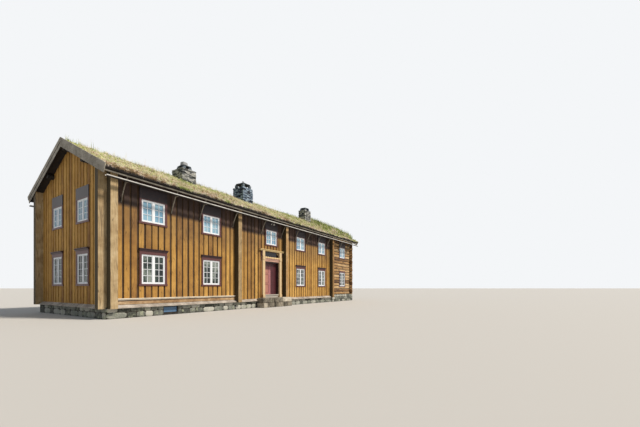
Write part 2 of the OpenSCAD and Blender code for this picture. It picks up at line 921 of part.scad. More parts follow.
// Places what is drawn on the cladding at the right of the door at both sides of the door
module beside_door() {
    on_front() translate([door_x, -clad_t, 0]) for (side = [-1, 1]) scale([side, 1, 1]) children();
}

// A curved bracket beside a pilaster that carries the end of the door's cornice
module console() {
    translate([0, 0, frieze_z]) along_wall([console_x + seat, console_x + console_w]) difference() {
        translate([-console_out, 0]) square([console_out, console_h - seat]);
        translate([-console_r, 0]) circle(r = console_r, $fn = long_arc_fn);
    }
}

module door_frieze() {
    color("#a8483f") {
        on_front()
            block([door_x - pilaster_x, -clad_t - frieze_t, frieze_z],
                  [door_x + pilaster_x, -clad_t, light_z]);
        beside_door() console();
    }
}

// A pilaster with its base, its capital and a flat board beside it
module door_pilasters() {
    outer_x = console_x;
    wide_y = -pilaster_t - capital_out;
    capital_z = frieze_z + capital_rise;
    color("#c79a62") beside_door() {
        block([pilaster_x, -pilaster_t, pilaster_foot_z], [outer_x, 0, door_top_z - seat]);
        block([pilaster_x, wide_y, pilaster_foot_z], [outer_x + capital_out, 0, pilaster_foot_z + base_h]);
        block([pilaster_x, wide_y, capital_z], [outer_x, 0, capital_z + capital_h]);
        block([outer_x, -side_board_t, pilaster_foot_z], [outer_x + console_w, 0, frieze_z - seat]);
    }
}

module door_canopy() {
    half = console_x + canopy_ear;
    color("#b98a55") on_front() translate([0, -clad_t, door_top_z])
        along_wall([door_x - half, door_x + half]) cornice_outline(canopy_out, canopy_h);
}

// One leaf with raised panels on its outer face, its hinge edge at x = 0
module door_leaf() {
    panel_w = leaf_w - 2 * leaf_rail_w;
    panel_h = (leaf_h - leaf_rail_w * (leaf_panels + 1)) / leaf_panels;
    difference() {
        cube([leaf_w, leaf_t, leaf_h]);
        for (k = [0 : leaf_panels - 1])
            translate([leaf_rail_w, -1, leaf_rail_w + k * (panel_h + leaf_rail_w)])
                difference() {
                    cube([panel_w, groove_t + 1, panel_h]);
                    translate([groove_w, 0, groove_w])
                        cube([panel_w - 2 * groove_w, groove_t + 1, panel_h - 2 * groove_w]);
                }
    }
}

module left_door_leaf() {
    color("#7a2531") on_front()
        translate([door_x - leaf_zone_x + leaf_gap, leaf_y, leaf_z]) door_leaf();
}

module right_door_leaf() {
    color("#7a2531") on_front()
        translate([door_x + leaf_zone_x - leaf_gap, leaf_y, leaf_z]) mirror([1, 0, 0]) door_leaf();
}

// Roof

function purlin_z(y) =
    roof_z(y) - (purlin_r + seat) / cos(roof_pitch);

module purlins() {
    len = 2 * (deck_x - purlin_short);
    color("#7a5b3c") for (y = [-purlin_y, 0, purlin_y])
        translate([0, y, purlin_z(y)])
            rotate([0, 90, 0]) cylinder(r = purlin_r, h = len, center = true, $fn = arc_fn);
}

// Places what is drawn flat, with the ridge at y = 0 and the eave towards -Y, on the front slope
module on_slope() { translate([0, 0, ridge_z]) rotate([roof_pitch, 0, 0]) children(); }

module slope_slab(from_eave, bottom, top) {
    difference() {
        on_slope() block([-deck_x, -slope_len + from_eave, bottom], [deck_x, ridge_lap, top]);
        block([-wide / 2, 0, 0], [wide / 2, wide / 2, wide / 2]);
    }
}

module roof_boards_front() {
    color("#8d7a5e") difference() {
        slope_slab(0, 0, deck_t);
        chimney_shafts(seat, wall_top_z, wide / 2);
    }
}

module roof_boards_back() { color("#8d7a5e") mirror([0, 1, 0]) slope_slab(0, 0, deck_t); }

module turf_front() {
    color("#8f9a3e") difference() {
        slope_slab(2 * turf_log_r + seat, deck_t, deck_t + turf_t);
        chimney_shafts(seat, wall_top_z, wide / 2);
    }
}

module turf_back() {
    color("#8f9a3e") mirror([0, 1, 0]) slope_slab(2 * turf_log_r + seat, deck_t, deck_t + turf_t);
}

module turf_logs() {
    color("#4b3f33") for (side = [-1, 1]) scale([1, side, 1])
        on_slope() translate([0, -slope_len + turf_log_r, deck_t + turf_log_r])
            rotate([0, 90, 0]) cylinder(r = turf_log_r, h = 2 * deck_x, center = true, $fn = arc_fn);
}

module verge_half() {
    difference() {
        on_slope() {
            block([deck_x, -slope_len, verge_split], [verge_x, ridge_lap, deck_t + turf_t + verge_lip]);
            block([deck_x, -slope_len, -verge_drop], [verge_x - verge_step, ridge_lap, verge_split]);
        }
        block([-wide / 2, 0, 0], [wide / 2, wide / 2, wide / 2]);
    }
}

module verge_boards() {
    color("#8c8577") for (end = [-1, 1]) scale([end, 1, 1])
        for (side = [-1, 1]) scale([1, side, 1]) verge_half();
}

module gutter() {
    len = 2 * (verge_x - gutter_short);
    translate([0, -gutter_y, gutter_z]) rotate([0, 90, 0]) difference() {
        cylinder(r = gutter_r, h = len, center = true, $fn = arc_fn);
        cylinder(r = gutter_r - gutter_t, h = len + 2, center = true, $fn = arc_fn);
        translate([-gutter_r, 0, 0]) cube([2 * gutter_r, 3 * gutter_r, len + 2], center = true);
    }
}

module gutters() {
    color("#a8a294") {
        gutter();
        mirror([0, 1, 0]) gutter();
    }
}

// A curved bar from the wall face up to the roof boards, with a peg that carries the gutter
module bracket(x, face_y, foot_z) {
    tip_y = half_dep + eave_out - bracket_head;
    foot = [-face_y, foot_z];
    tip = [-tip_y, roof_z(tip_y)];
    chord = tip - foot;
    mid = (foot + tip) / 2;
    sag = sqrt(pow(bracket_r, 2) - pow(norm(chord) / 2, 2));
    centre = mid + sag * [-chord[1], chord[0]] / norm(chord);
    peg_z = gutter_z - gutter_r / 2;
    peg_y = centre[0] + sqrt(pow(bracket_r, 2) - pow(peg_z - centre[1], 2));
    intersection() {
        translate([x, centre[0], centre[1]]) rotate([0, 90, 0]) difference() {
            cylinder(r = bracket_r + bracket_w / 2, h = bracket_w, center = true, $fn = long_arc_fn);
            cylinder(r = bracket_r - bracket_w / 2, h = bracket_w + 2, center = true, $fn = long_arc_fn);
        }
        block([x - bracket_w, -half_dep - eave_out, foot[1]], [x + bracket_w, -face_y, wall_top_z]);
        translate([0, 0, -seat]) under_roof();
    }
    difference() {
        block([x - bracket_w / 2, -gutter_y, peg_z - bracket_w / 2],
              [x + bracket_w / 2, peg_y, peg_z + bracket_w / 2]);
        translate([x, -gutter_y, gutter_z])
            rotate([0, 90, 0]) cylinder(r = gutter_r + seat, h = bracket_w + 2, center = true, $fn = arc_fn);
    }
}

module gutter_brackets() {
    color("#b9b2a2") for (side = [-1, 1]) scale([1, side, 1]) {
        for (x = bracket_xs) bracket(x, half_dep + clad_t, bracket_foot_z);
        for (x = log_bracket_xs) bracket(x, half_dep, log_foot_z);
    }
}

// Chimneys

module stack(i) {
    color("#5f6263") difference() {
        block([chimney_xs[i] - chimney_widths[i] / 2, chimney_ys[i] - chimney_deps[i] / 2, 0],
              [chimney_xs[i] + chimney_widths[i] / 2, chimney_ys[i] + chimney_deps[i] / 2, chimney_tops[i]]);
        block([chimney_xs[i] - flue_w / 2, chimney_ys[i] - flue_w / 2, upper_floor_z],
              [chimney_xs[i] + flue_w / 2, chimney_ys[i] + flue_w / 2, wide / 2]);
    }
}

module left_chimney() { stack(0); }
module middle_chimney() { stack(1); }
module right_chimney() { stack(2); }

// Places what is drawn on the middle of a chimney's top
module on_chimney(i) { translate([chimney_xs[i], chimney_ys[i], chimney_tops[i]]) children(); }

module chimney_corner_stones() {
    color("#8e9190") for (i = [0 : 2], sx = [-1, 1], sy = [-1, 1]) {
        side_x = (cap_widths[i] - post_w) / 2 - post_inset;
        side_y = (cap_deps[i] - post_w) / 2 - post_inset;
        on_chimney(i) translate([sx * side_x, sy * side_y, post_heights[i] / 2])
            cube([post_w, post_w, post_heights[i]], center = true);
    }
}

module chimney_caps() {
    color("#3f4447") for (i = [0 : 2])
        on_chimney(i) translate([0, 0, post_heights[i] + cap_t / 2])
            cube([cap_widths[i], cap_deps[i], cap_t], center = true);
}

// A stone with a broad foot and a narrower head that leans to one side
module top_stone(foot_w, head_w, thick, h, lean) {
    rotate([90, 0, 0]) linear_extrude(thick, center = true)
        polygon([[-foot_w / 2, 0], [foot_w / 2, 0], [lean + head_w / 2, h], [lean - head_w / 2, h]]);
}

module chimney_top_stones() {
    color("#5b6a66") {
        on_chimney(0) translate([0, 0, post_heights[0] + cap_t])
            top_stone(left_stone_w, left_stone_head, left_stone_t, left_stone_h, left_stone_lean);
        on_chimney(1) translate([0, 0, post_heights[1] + cap_t])
            top_stone(middle_stone_w, middle_stone_head, middle_stone_t, middle_stone_h, middle_stone_lean);
    }
}

// Lamp under the eave over the door

module eave_lamp() {
    lamp_z = upper_z + upper_win_h + lamp_rise;
    color("#e6e4dc") translate([door_x, front_y - clad_t - casing_t, lamp_z]) {
        rotate([90, 0, 0]) cylinder(r = lamp_plate_r, h = lamp_plate_t, $fn = arc_fn);
        rotate([90, 0, 0]) cylinder(r = lamp_arm_r, h = lamp_arm, $fn = arc_fn);
        translate([0, -lamp_arm, lamp_arm_r - lamp_shade_h]) difference() {
            cylinder(r1 = lamp_r, r2 = lamp_neck_r, h = lamp_shade_h, $fn = arc_fn);
            translate([0, 0, -lamp_shade_t])
                cylinder(r1 = lamp_r, r2 = lamp_neck_r, h = lamp_shade_h, $fn = arc_fn);
        }
    }
}

front_foundation();
back_foundation();
left_foundation();
right_foundation();
cellar_hatch();
door_steps();
ground_floor();
upper_floor();
front_wall_left();
front_wall_over_door();
front_wall_right();
back_wall();
left_gable_wall();
log_bay_front();
log_bay_back();
right_gable_wall();
board_cladding();
sill_boards();
corner_cases();
window_casings();
window_cornices();
window_frames();
window_panes();
door_frame();
door_frieze();
door_pilasters();
door_canopy();
left_door_leaf();
right_door_leaf();
purlins();
roof_boards_front();
roof_boards_back();
turf_front();
turf_back();
turf_logs();
verge_boards();
gutters();
gutter_brackets();
left_chimney();
middle_chimney();
right_chimney();
chimney_corner_stones();
chimney_caps();
chimney_top_stones();
eave_lamp();
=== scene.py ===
"""Turf-roofed log farmhouse: boards, stones, glazing bars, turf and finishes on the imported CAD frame."""

import math
import random

import bmesh
import bpy
from mathutils import Matrix, Vector, noise


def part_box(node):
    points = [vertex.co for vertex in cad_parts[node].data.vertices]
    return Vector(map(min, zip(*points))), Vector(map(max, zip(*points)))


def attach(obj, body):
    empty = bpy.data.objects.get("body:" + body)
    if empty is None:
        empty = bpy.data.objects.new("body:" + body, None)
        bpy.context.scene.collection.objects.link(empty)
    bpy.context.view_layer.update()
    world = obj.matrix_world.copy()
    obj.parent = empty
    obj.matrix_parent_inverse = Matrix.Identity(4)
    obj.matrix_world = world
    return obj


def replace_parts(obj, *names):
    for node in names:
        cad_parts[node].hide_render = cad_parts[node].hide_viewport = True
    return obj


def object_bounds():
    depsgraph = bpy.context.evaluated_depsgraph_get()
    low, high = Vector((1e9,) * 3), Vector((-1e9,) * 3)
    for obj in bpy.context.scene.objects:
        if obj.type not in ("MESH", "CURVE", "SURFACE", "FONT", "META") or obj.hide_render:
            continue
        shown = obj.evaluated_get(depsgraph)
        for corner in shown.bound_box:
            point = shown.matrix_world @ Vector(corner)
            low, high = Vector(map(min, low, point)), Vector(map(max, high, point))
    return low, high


bl_info = {
    "name": "Turf-roofed log farmhouse",
    "version": (1, 0, 0),
    "blender": (4, 5, 0),
    "location": "View3D > Sidebar > Farmhouse",
    "description": "Dresses the packed farmhouse with boards, stones, glazing bars and turf",
    "category": "Add Mesh",
}

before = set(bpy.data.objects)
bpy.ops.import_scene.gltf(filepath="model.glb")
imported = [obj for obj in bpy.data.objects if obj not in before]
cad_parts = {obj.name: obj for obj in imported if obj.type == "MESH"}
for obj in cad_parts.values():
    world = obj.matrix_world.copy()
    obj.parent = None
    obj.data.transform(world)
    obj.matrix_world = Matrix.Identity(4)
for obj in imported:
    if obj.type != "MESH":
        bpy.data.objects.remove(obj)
CAD_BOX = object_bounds()
HOUSE = "house"

# Sizes repeated from the part's source, in metres
HALF_DEPTH = 3.30
WALL_T = 0.16
CLAD_T = 0.06
ROOF_PITCH = math.radians(26)
EAVE_OUT = 0.60
DECK_T = 0.05
TURF_T = 0.20
LOG_PITCH = 0.258
LOG_BASE = 0.62
FOUNDATION_H = 0.45
FOUNDATION_OUT = 0.10
LEDGE_TOP = 0.78
UPPER_FLOOR = 3.05
RIDGE_Z = UPPER_FLOOR + 2.735 + HALF_DEPTH * math.tan(ROOF_PITCH)
FRAME_W = 0.045
PANE_SET = 0.045
MULLION_W = 0.075
LEAF_RAIL = 0.105
DOOR_X = -1.18
PILASTERS_OUT = 0.926
CHIMNEYS = ("left_chimney", "middle_chimney", "right_chimney")

# Sizes that the pieces made here share, in metres
EDGE = 0.003
LET_IN = 0.002
HALF_ROOF = HALF_DEPTH + EAVE_OUT

# The photograph's camera
EYE = (-16.29, -16.33, 1.20)
LOOK = (0.8526, 0.5225, 0.0)
LENS_MM = 17.0
SHIFT_UP = 0.1164


def roof_under(y):
    """Height of the underside of the roof boards."""
    return RIDGE_Z - abs(y) * math.tan(ROOF_PITCH)


def linear(colour):
    """An sRGB hex colour as linear RGBA; a colour of the panel is that already."""
    if not isinstance(colour, str):
        return tuple(colour)
    parts = [int(colour[i:i + 2], 16) / 255 for i in (1, 3, 5)]
    return tuple(p / 12.92 if p <= 0.04045 else ((p + 0.055) / 1.055) ** 2.4 for p in parts) + (1.0,)


def length(name, about, default):
    """A length on the panel."""
    return bpy.props.FloatProperty(name=name, description=about, default=default, unit="LENGTH")


def paint_colour(name, about, default):
    """A colour on the panel."""
    return bpy.props.FloatVectorProperty(
        name=name, description=about, default=linear(default), subtype="COLOR", size=4)


class FarmhouseSizes(bpy.types.PropertyGroup):
    """Sizes of what scene.py adds."""

    board_pitch: length("Board pitch", "From one cover board to the next", 0.29)
    cover_w: length("Cover board width", "Mean width of a cover board", 0.215)
    board_t: length("Board thickness", "Thickness of a cover board", 0.034)
    bar_w: length("Glazing bar width", "Width of a glazing bar", 0.02)
    sash_w: length("Sash width", "Width of a sash's stiles and rails", 0.03)
    stone_gap: length("Stone joint", "Open joint between foundation stones", 0.012)
    course_h: length("Slate course", "Mean height of a course of chimney stones", 0.062)
    turf_wave: length("Turf unevenness", "How far the turf surface waves", 0.035)
    grass_density: bpy.props.FloatProperty(
        name="Grass density", description="Tufts on a square metre of roof", default=60.0)
    grass_h: length("Grass height", "Mean height of the grass", 0.12)


class FarmhouseColours(bpy.types.PropertyGroup):
    """Colours of the main finishes."""

    boards: paint_colour("Boards", "Oiled boards in the sun", "#b0843e")
    boards_dark: paint_colour("Boards, dark", "Oiled boards, old and dark", "#80592a")
    maroon: paint_colour("Casings", "Oil paint of the window casings", "#552f2f")
    white: paint_colour("Window paint", "White oil paint of the sashes", "#e8edf2")
    door: paint_colour("Door paint", "Faded red oil paint of the door", "#b4787a")
    grass: paint_colour("Grass", "Growing grass on the roof", "#c3c97c")
    straw: paint_colour("Straw", "Dry grass on the roof", "#f7f0da")


# Node trees and materials


def add(tree, kind, inputs=None, stops=(), **settings):
    """Adds a node with its settings, fills or links its inputs, and gives the node back.

    An input given as a node is linked to that node's first output in use, and one given as an sRGB hex
    colour gets the linear one. stops are the places and colours of a colour ramp.
    """
    node = tree.nodes.new(kind)
    for name, value in settings.items():
        setattr(node, name, value)
    for key, value in (inputs or {}).items():
        if isinstance(value, bpy.types.Node):
            value = next(socket for socket in value.outputs if socket.enabled)
        if isinstance(value, bpy.types.NodeSocket):
            tree.links.new(value, node.inputs[key])
        else:
            node.inputs[key].default_value = linear(value) if isinstance(value, str) else value
    for place, colour in stops[1:-1]:
        node.color_ramp.elements.new(place)
    for i, (place, colour) in enumerate(stops):
        node.color_ramp.elements[i].position = place
        node.color_ramp.elements[i].color = linear(colour)
    return node


def start_material(name):
    """A new material with an empty tree, and the place of the points on the surface."""
    material = bpy.data.materials.new(name)
    material.use_nodes = True
    tree = material.node_tree
    tree.nodes.clear()
    return material, tree, add(tree, "ShaderNodeTexCoord").outputs["Object"]


def end_material(tree, colour, rough, height=None, bump_mm=1.0):
    """Closes a tree with a Principled shader; height drives a bump that many millimetres deep."""
    values = {"Base Color": colour, "Roughness": rough}
    if height is not None:
        values["Normal"] = add(tree, "ShaderNodeBump",
                               {"Height": height, "Distance": bump_mm * 0.001, "Strength": 1.0})
    shader = add(tree, "ShaderNodeBsdfPrincipled", values)
    add(tree, "ShaderNodeOutputMaterial", {"Surface": shader})


def blend_in(tree, colour, other, value, low, high):
    """Blends another colour into the first where a value passes from low to high."""
    share = add(tree, "ShaderNodeMapRange", {"Value": value, "From Min": low, "From Max": high})
    return add(tree, "ShaderNodeMix", {0: share, 6: colour, 7: other}, data_type="RGBA")


def facing(tree, axis):
    """How far a face looks along an axis, from -1 to 1."""
    normal = add(tree, "ShaderNodeNewGeometry").outputs["Normal"]
    return add(tree, "ShaderNodeSeparateXYZ", {"Vector": normal}).outputs[axis]


def fibres(tree, place, along, fine, coarse, detail=5.0, rough=0.65):
    """Wood fibres or brush marks: so many to the metre across an axis and along it."""
    stretch = [fine] * 3
    stretch[along] = coarse
    place = add(tree, "ShaderNodeMapping", {"Vector": place, "Scale": stretch})
    return add(tree, "ShaderNodeTexNoise",
               {"Vector": place, "Scale": 1.0, "Detail": detail, "Roughness": rough})


def cracks(tree, place, along, fine, coarse, reach, least):
    """A mask that is 1 on sound wood and falls to least in the drying cracks along an axis."""
    stretch = [fine] * 3
    stretch[along] = coarse
    place = add(tree, "ShaderNodeMapping", {"Vector": place, "Scale": stretch})
    crack = add(tree, "ShaderNodeTexVoronoi", {"Vector": place, "Scale": 1.0}, feature="DISTANCE_TO_EDGE")
    return add(tree, "ShaderNodeMapRange",
               {"Value": crack, "From Min": 0.0, "From Max": reach, "To Min": least, "To Max": 1.0})


def two_noises(tree, place, coarse, fine, share):
    """Noise at two scales with the share of the fine one, and the fine one by itself.

    Each is given by its scale, detail and roughness.
    """
    sockets = ("Scale", "Detail", "Roughness")
    coarse, fine = (add(tree, "ShaderNodeTexNoise", {"Vector": place, **dict(zip(sockets, values))})
                    for values in (coarse, fine))
    return add(tree, "ShaderNodeMix", {0: share, 2: coarse, 3: fine}), fine


def weathered_wood(name, along, shades, board=None, across=0, fibre_mm=12.0, bump_mm=2.0, bands=(),
                   bands_by="Z", under=None, flank=None):
    """Wood with grain along an axis, cracks, blotches and a tone for each board.

    shades run from dark to pale. board is the pitch of boards that differ in tone, or "own" where each has
    its own tone value. Each band gives two places along bands_by and the shades beyond them; some bands
    are painted shade or a painted highlight. under gives a painted shade for faces that look down, flank a
    painted shade for faces that look along x.
    """
    material, tree, place = start_material(name)
    parts = add(tree, "ShaderNodeSeparateXYZ", {"Vector": place})
    fine = 1000 / fibre_mm
    fibre = fibres(tree, place, along, fine, 1.6)
    crack = cracks(tree, place, along, fine / 4, 0.7, 0.04, 0.35)
    blotch = add(tree, "ShaderNodeTexNoise", {"Vector": place, "Scale": 2.2, "Detail": 4.0, "Roughness": 0.6})
    tone = blotch
    if board == "own":
        tone = add(tree, "ShaderNodeAttribute", attribute_name="tone").outputs["Fac"]
    elif board:
        number = add(tree, "ShaderNodeMath", {0: parts.outputs[across], 1: board}, operation="DIVIDE")
        number = add(tree, "ShaderNodeMath", {0: number}, operation="FLOOR")
        tone = add(tree, "ShaderNodeTexWhiteNoise", {"W": number}, noise_dimensions="1D")
    amount = add(tree, "ShaderNodeCombineXYZ", {0: fibre, 1: blotch, 2: tone})
    amount = add(tree, "ShaderNodeVectorMath", {0: amount, 1: (0.55, 0.45, 0.32)}, operation="DOT_PRODUCT")
    colour = None
    for low, high, (dark, mid, pale) in ((None, None, shades), *bands):
        ramp = add(tree, "ShaderNodeValToRGB", {"Fac": amount}, [(0.42, dark), (0.64, mid), (0.9, pale)])
        colour = blend_in(tree, colour, ramp, parts.outputs[bands_by], low, high) if colour else ramp
    # Painted shade: faces that look down take the under colour
    if under:
        colour = blend_in(tree, colour, under, facing(tree, "Z"), -0.55, -0.75)
    # Painted shade: faces that look along x take the flank colour
    if flank:
        sideways = add(tree, "ShaderNodeMath", {0: facing(tree, "X")}, operation="ABSOLUTE")
        colour = blend_in(tree, colour, flank, sideways, 0.6, 0.75)
    colour = add(tree, "ShaderNodeMix", {0: crack, 6: "#2a1c10", 7: colour}, data_type="RGBA")
    height = add(tree, "ShaderNodeMath", {0: fibre, 1: crack}, operation="MULTIPLY")
    end_material(tree, colour, 0.82, height, bump_mm)
    return material


def painted_wood(name, colour, worn, wear=0.35, rough=0.45, along=2, beside_door=None, above=None):
    """Oil paint on planed wood, faintly brushed, worn to the wood in spots and along the grain.

    beside_door gives the colour farther from the middle of the door than the pilasters reach.
    above gives two heights and the colour that holds over them: painted shade under the eave and the frieze,
    and the door frame's brown-black over its pale threshold.
    """
    material, tree, place = start_material(name)
    brush = fibres(tree, place, along, 90.0, 2.0, 4.0, 0.5)
    spots = add(tree, "ShaderNodeTexNoise", {"Vector": place, "Scale": 9.0, "Detail": 6.0, "Roughness": 0.7})
    mask = add(tree, "ShaderNodeMath", {0: brush, 1: spots}, operation="MULTIPLY")
    mask = add(tree, "ShaderNodeMapRange", {"Value": mask, "From Min": 0.28, "From Max": 0.5, "To Max": wear})
    parts = add(tree, "ShaderNodeSeparateXYZ", {"Vector": place})
    # The colour over a height, painted shade where a call gives one
    if above:
        low, high, upper = above
        colour = blend_in(tree, colour, upper, parts.outputs["Z"], low, high)
    if beside_door:
        off = add(tree, "ShaderNodeMath", {0: parts.outputs["X"], 1: DOOR_X}, operation="SUBTRACT")
        off = add(tree, "ShaderNodeMath", {0: off}, operation="ABSOLUTE")
        colour = blend_in(tree, colour, beside_door, off, PILASTERS_OUT, PILASTERS_OUT + 0.001)
    colour = add(tree, "ShaderNodeMix", {0: mask, 6: colour, 7: worn}, data_type="RGBA")
    end_material(tree, colour, rough, brush, 0.6)
    return material


def stone(name, shades, grain_mm=60.0, lichen=None, layered=False, share=0.0, soft=1.0):
    """Weathered stone with blotches, fine grain and, where given, lichen; layered stone splits flat.

    share says how much of the tone comes from each stone's own tone value, where a piece has one, and
    soft how far the dark and the pale shade lie apart.
    """
    material, tree, place = start_material(name)
    stretch = (1.0, 1.0, 5.0 if layered else 1.0)
    place = add(tree, "ShaderNodeMapping", {"Vector": place, "Scale": stretch})
    height, _ = two_noises(tree, place, (250 / grain_mm, 3.0, 0.6), (1500 / grain_mm, 6.0, 0.75), 0.45)
    toned = height
    if share:
        own = add(tree, "ShaderNodeAttribute", attribute_name="tone").outputs["Fac"]
        moved = add(tree, "ShaderNodeMath", {0: own, 1: 0.5}, operation="SUBTRACT")
        toned = add(tree, "ShaderNodeMath", {0: moved, 1: share, 2: toned}, operation="MULTIPLY_ADD")
    dark, mid, pale = shades
    colour = add(tree, "ShaderNodeValToRGB", {"Fac": toned},
                 [(0.5 - 0.16 * soft, dark), (0.5, mid), (0.5 + 0.18 * soft, pale)])
    if lichen:
        patch = add(tree, "ShaderNodeTexNoise",
                    {"Vector": place, "Scale": 6.0, "Detail": 8.0, "Roughness": 0.7})
        colour = blend_in(tree, colour, lichen, patch, 0.55, 0.64)
    end_material(tree, colour, 0.85, height, 4.0)
    return material


def log_timber(name, along, base):
    """Bare logs: grain along the log, dark seams between courses widened with painted shade, and rings on the
    sawn ends.
    """
    material, tree, place = start_material(name)
    parts = add(tree, "ShaderNodeSeparateXYZ", {"Vector": place})
    course = add(tree, "ShaderNodeMath", {0: parts.outputs["Z"], 1: base}, operation="SUBTRACT")
    course = add(tree, "ShaderNodeMath", {0: course, 1: LOG_PITCH}, operation="DIVIDE")
    number = add(tree, "ShaderNodeMath", {0: course}, operation="FLOOR")
    level = add(tree, "ShaderNodeMath", {0: course}, operation="FRACT")
    level = add(tree, "ShaderNodeMath", {0: level, 1: 0.5}, operation="SUBTRACT")
    # The grain starts elsewhere in each course
    slide = add(tree, "ShaderNodeMath", {0: number, 1: 7.31}, operation="MULTIPLY")
    slide = add(tree, "ShaderNodeCombineXYZ", {along: slide})
    slid = add(tree, "ShaderNodeVectorMath", {0: place, 1: slide}, operation="ADD")
    fibre = fibres(tree, slid, along, 95.0, 1.3, rough=0.7)
    crack = cracks(tree, slid, along, 16.0, 0.55, 0.07, 0.0)
    blotch = add(tree, "ShaderNodeTexNoise", {"Vector": slid, "Scale": 1.8, "Detail": 4.0})
    tone = add(tree, "ShaderNodeTexWhiteNoise", {"W": number}, noise_dimensions="1D")
    amount = add(tree, "ShaderNodeCombineXYZ", {0: fibre, 1: blotch, 2: tone})
    amount = add(tree, "ShaderNodeVectorMath", {0: amount, 1: (0.6, 0.5, 0.5)}, operation="DOT_PRODUCT")
    # Paler towards the right end, darker towards the left
    paler_rightwards = add(tree, "ShaderNodeMapRange",
                   {"Value": parts.outputs["X"], "From Min": 6.9, "From Max": 10.5,
                    "To Min": -0.09, "To Max": 0.07})
    amount = add(tree, "ShaderNodeMath", {0: amount, 1: paler_rightwards}, operation="ADD")
    side = add(tree, "ShaderNodeValToRGB", {"Fac": amount},
               [(0.5, "#5f4128"), (0.78, "#a9814f"), (1.0, "#d8b788")])
    side = add(tree, "ShaderNodeMix", {0: crack, 6: "#23170e", 7: side}, data_type="RGBA")
    # Dark seams: the joints between courses, widened over the logs' rounded edges as painted shade
    seam = add(tree, "ShaderNodeMath", {0: level}, operation="ABSOLUTE")
    seam = add(tree, "ShaderNodeMapRange",
               {"Value": seam, "From Min": 0.34, "From Max": 0.44, "To Max": 0.97})
    side = add(tree, "ShaderNodeMix", {0: seam, 6: side, 7: "#1c130c"}, data_type="RGBA")
    # Rings round the heart of each log, a little out of round
    rise = add(tree, "ShaderNodeMath", {0: level, 1: LOG_PITCH}, operation="MULTIPLY")
    centre = HALF_DEPTH - WALL_T / 2 if along == 0 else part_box("right_gable_wall")[1].x - WALL_T / 2
    beside = add(tree, "ShaderNodeMath", {0: parts.outputs[1 - along]}, operation="ABSOLUTE")
    beside = add(tree, "ShaderNodeMath", {0: beside, 1: centre}, operation="SUBTRACT")
    radius = add(tree, "ShaderNodeCombineXYZ", {0: beside, 1: rise})
    radius = add(tree, "ShaderNodeVectorMath", {0: radius}, operation="LENGTH")
    wobble = add(tree, "ShaderNodeTexNoise", {"Vector": place, "Scale": 14.0, "Detail": 2.0})
    rings = add(tree, "ShaderNodeMath", {0: wobble, 1: 0.02, 2: radius}, operation="MULTIPLY_ADD")
    rings = add(tree, "ShaderNodeMath", {0: rings, 1: 700.0}, operation="MULTIPLY")
    rings = add(tree, "ShaderNodeMath", {0: rings}, operation="SINE")
    end = blend_in(tree, "#5f4226", "#94703f", rings, -1.0, 1.0)
    sawn = add(tree, "ShaderNodeMath", {0: facing(tree, "XY"[along])}, operation="ABSOLUTE")
    sawn = add(tree, "ShaderNodeMath", {0: sawn, 1: 0.7}, operation="GREATER_THAN")
    colour = add(tree, "ShaderNodeMix", {0: sawn, 6: side, 7: end}, data_type="RGBA")
    height = add(tree, "ShaderNodeMath", {0: fibre, 1: crack}, operation="MULTIPLY")
    end_material(tree, colour, 0.85, height, 5.0)
    return material


def drawn_glass(name):
    """Old drawn glass with painted reflections: the pale sky above, the dim yard below, and painted shade of
    a dark hall behind the light over the door.
    """
    material, tree, place = start_material(name)
    height = add(tree, "ShaderNodeSeparateXYZ", {"Vector": place}).outputs["Z"]
    waves = add(tree, "ShaderNodeTexNoise", {"Vector": place, "Scale": 7.0, "Detail": 2.0})
    patch = add(tree, "ShaderNodeTexNoise", {"Vector": place, "Scale": 1.7, "Detail": 3.0, "Roughness": 0.6})
    # Painted reflection of the dim yard on the lower panes
    yard = add(tree, "ShaderNodeValToRGB", {"Fac": patch},
               [(0.4, "#172020"), (0.52, "#3c4a43"), (0.64, "#868f88")])
    # Painted reflection of the sky on the upper panes
    sky = add(tree, "ShaderNodeValToRGB", {"Fac": patch}, [(0.35, "#6b96b2"), (0.65, "#97bccd")])
    # Painted shade of the dark hall behind the light over the door
    colour = blend_in(tree, yard, "#120d10", height, 2.9, 3.0)
    colour = blend_in(tree, colour, sky, height, 3.6, 3.7)
    end_material(tree, colour, 0.1, waves, 6.0)
    return material


def grass(name, root, green, straw):
    """Blades of grass: brown at the root, then green, straw, pinkish or rusty in patches and tuft by tuft."""
    _, tree, place = start_material(name)
    # Tufts of 200 mm differ, which is as fine as the picture shows from the yard
    tone, _ = two_noises(tree, place, (0.8, 5.0, 0.7), (5.0, 2.0, 0.5), 0.45)
    parts = add(tree, "ShaderNodeSeparateXYZ", {"Vector": place})
    # Drier down the slope, lusher towards the right end
    for axis, low, high, least, most in (("Z", 7.6, 5.6, -0.015, 0.035), ("X", -3.0, 7.5, 0.004, -0.055)):
        change = add(tree, "ShaderNodeMapRange",
                     {"Value": parts.outputs[axis], "From Min": low, "From Max": high,
                      "To Min": least, "To Max": most})
        tone = add(tree, "ShaderNodeMath", {0: tone, 1: change}, operation="ADD")
    hue = add(tree, "ShaderNodeValToRGB", {"Fac": tone},
              [(0.39, "#6d7f38"), (0.43, "#abbb60"), (0.46, green), (0.483, "#eae9b6"), (0.505, straw),
               (0.535, "#f4e4d6"), (0.57, "#cfae88"), (0.61, "#8a7253")])
    # Hollows of some 300 mm between the tussocks lie in shade and grow darker
    hollow = add(tree, "ShaderNodeTexNoise",
                 {"Vector": place, "Scale": 3.4, "Detail": 3.0, "Roughness": 0.65})
    shade = add(tree, "ShaderNodeMapRange",
                {"Value": hollow, "From Min": 0.46, "From Max": 0.36, "To Max": 0.7})
    toned = add(tree, "ShaderNodeMix", {0: shade, 6: hue, 7: "#4a4a2c"}, data_type="RGBA")
    tip = add(tree, "ShaderNodeAttribute", attribute_name="tip").outputs["Fac"]
    end_material(tree, blend_in(tree, root, toned, tip, 0.0, 0.45), 0.75)


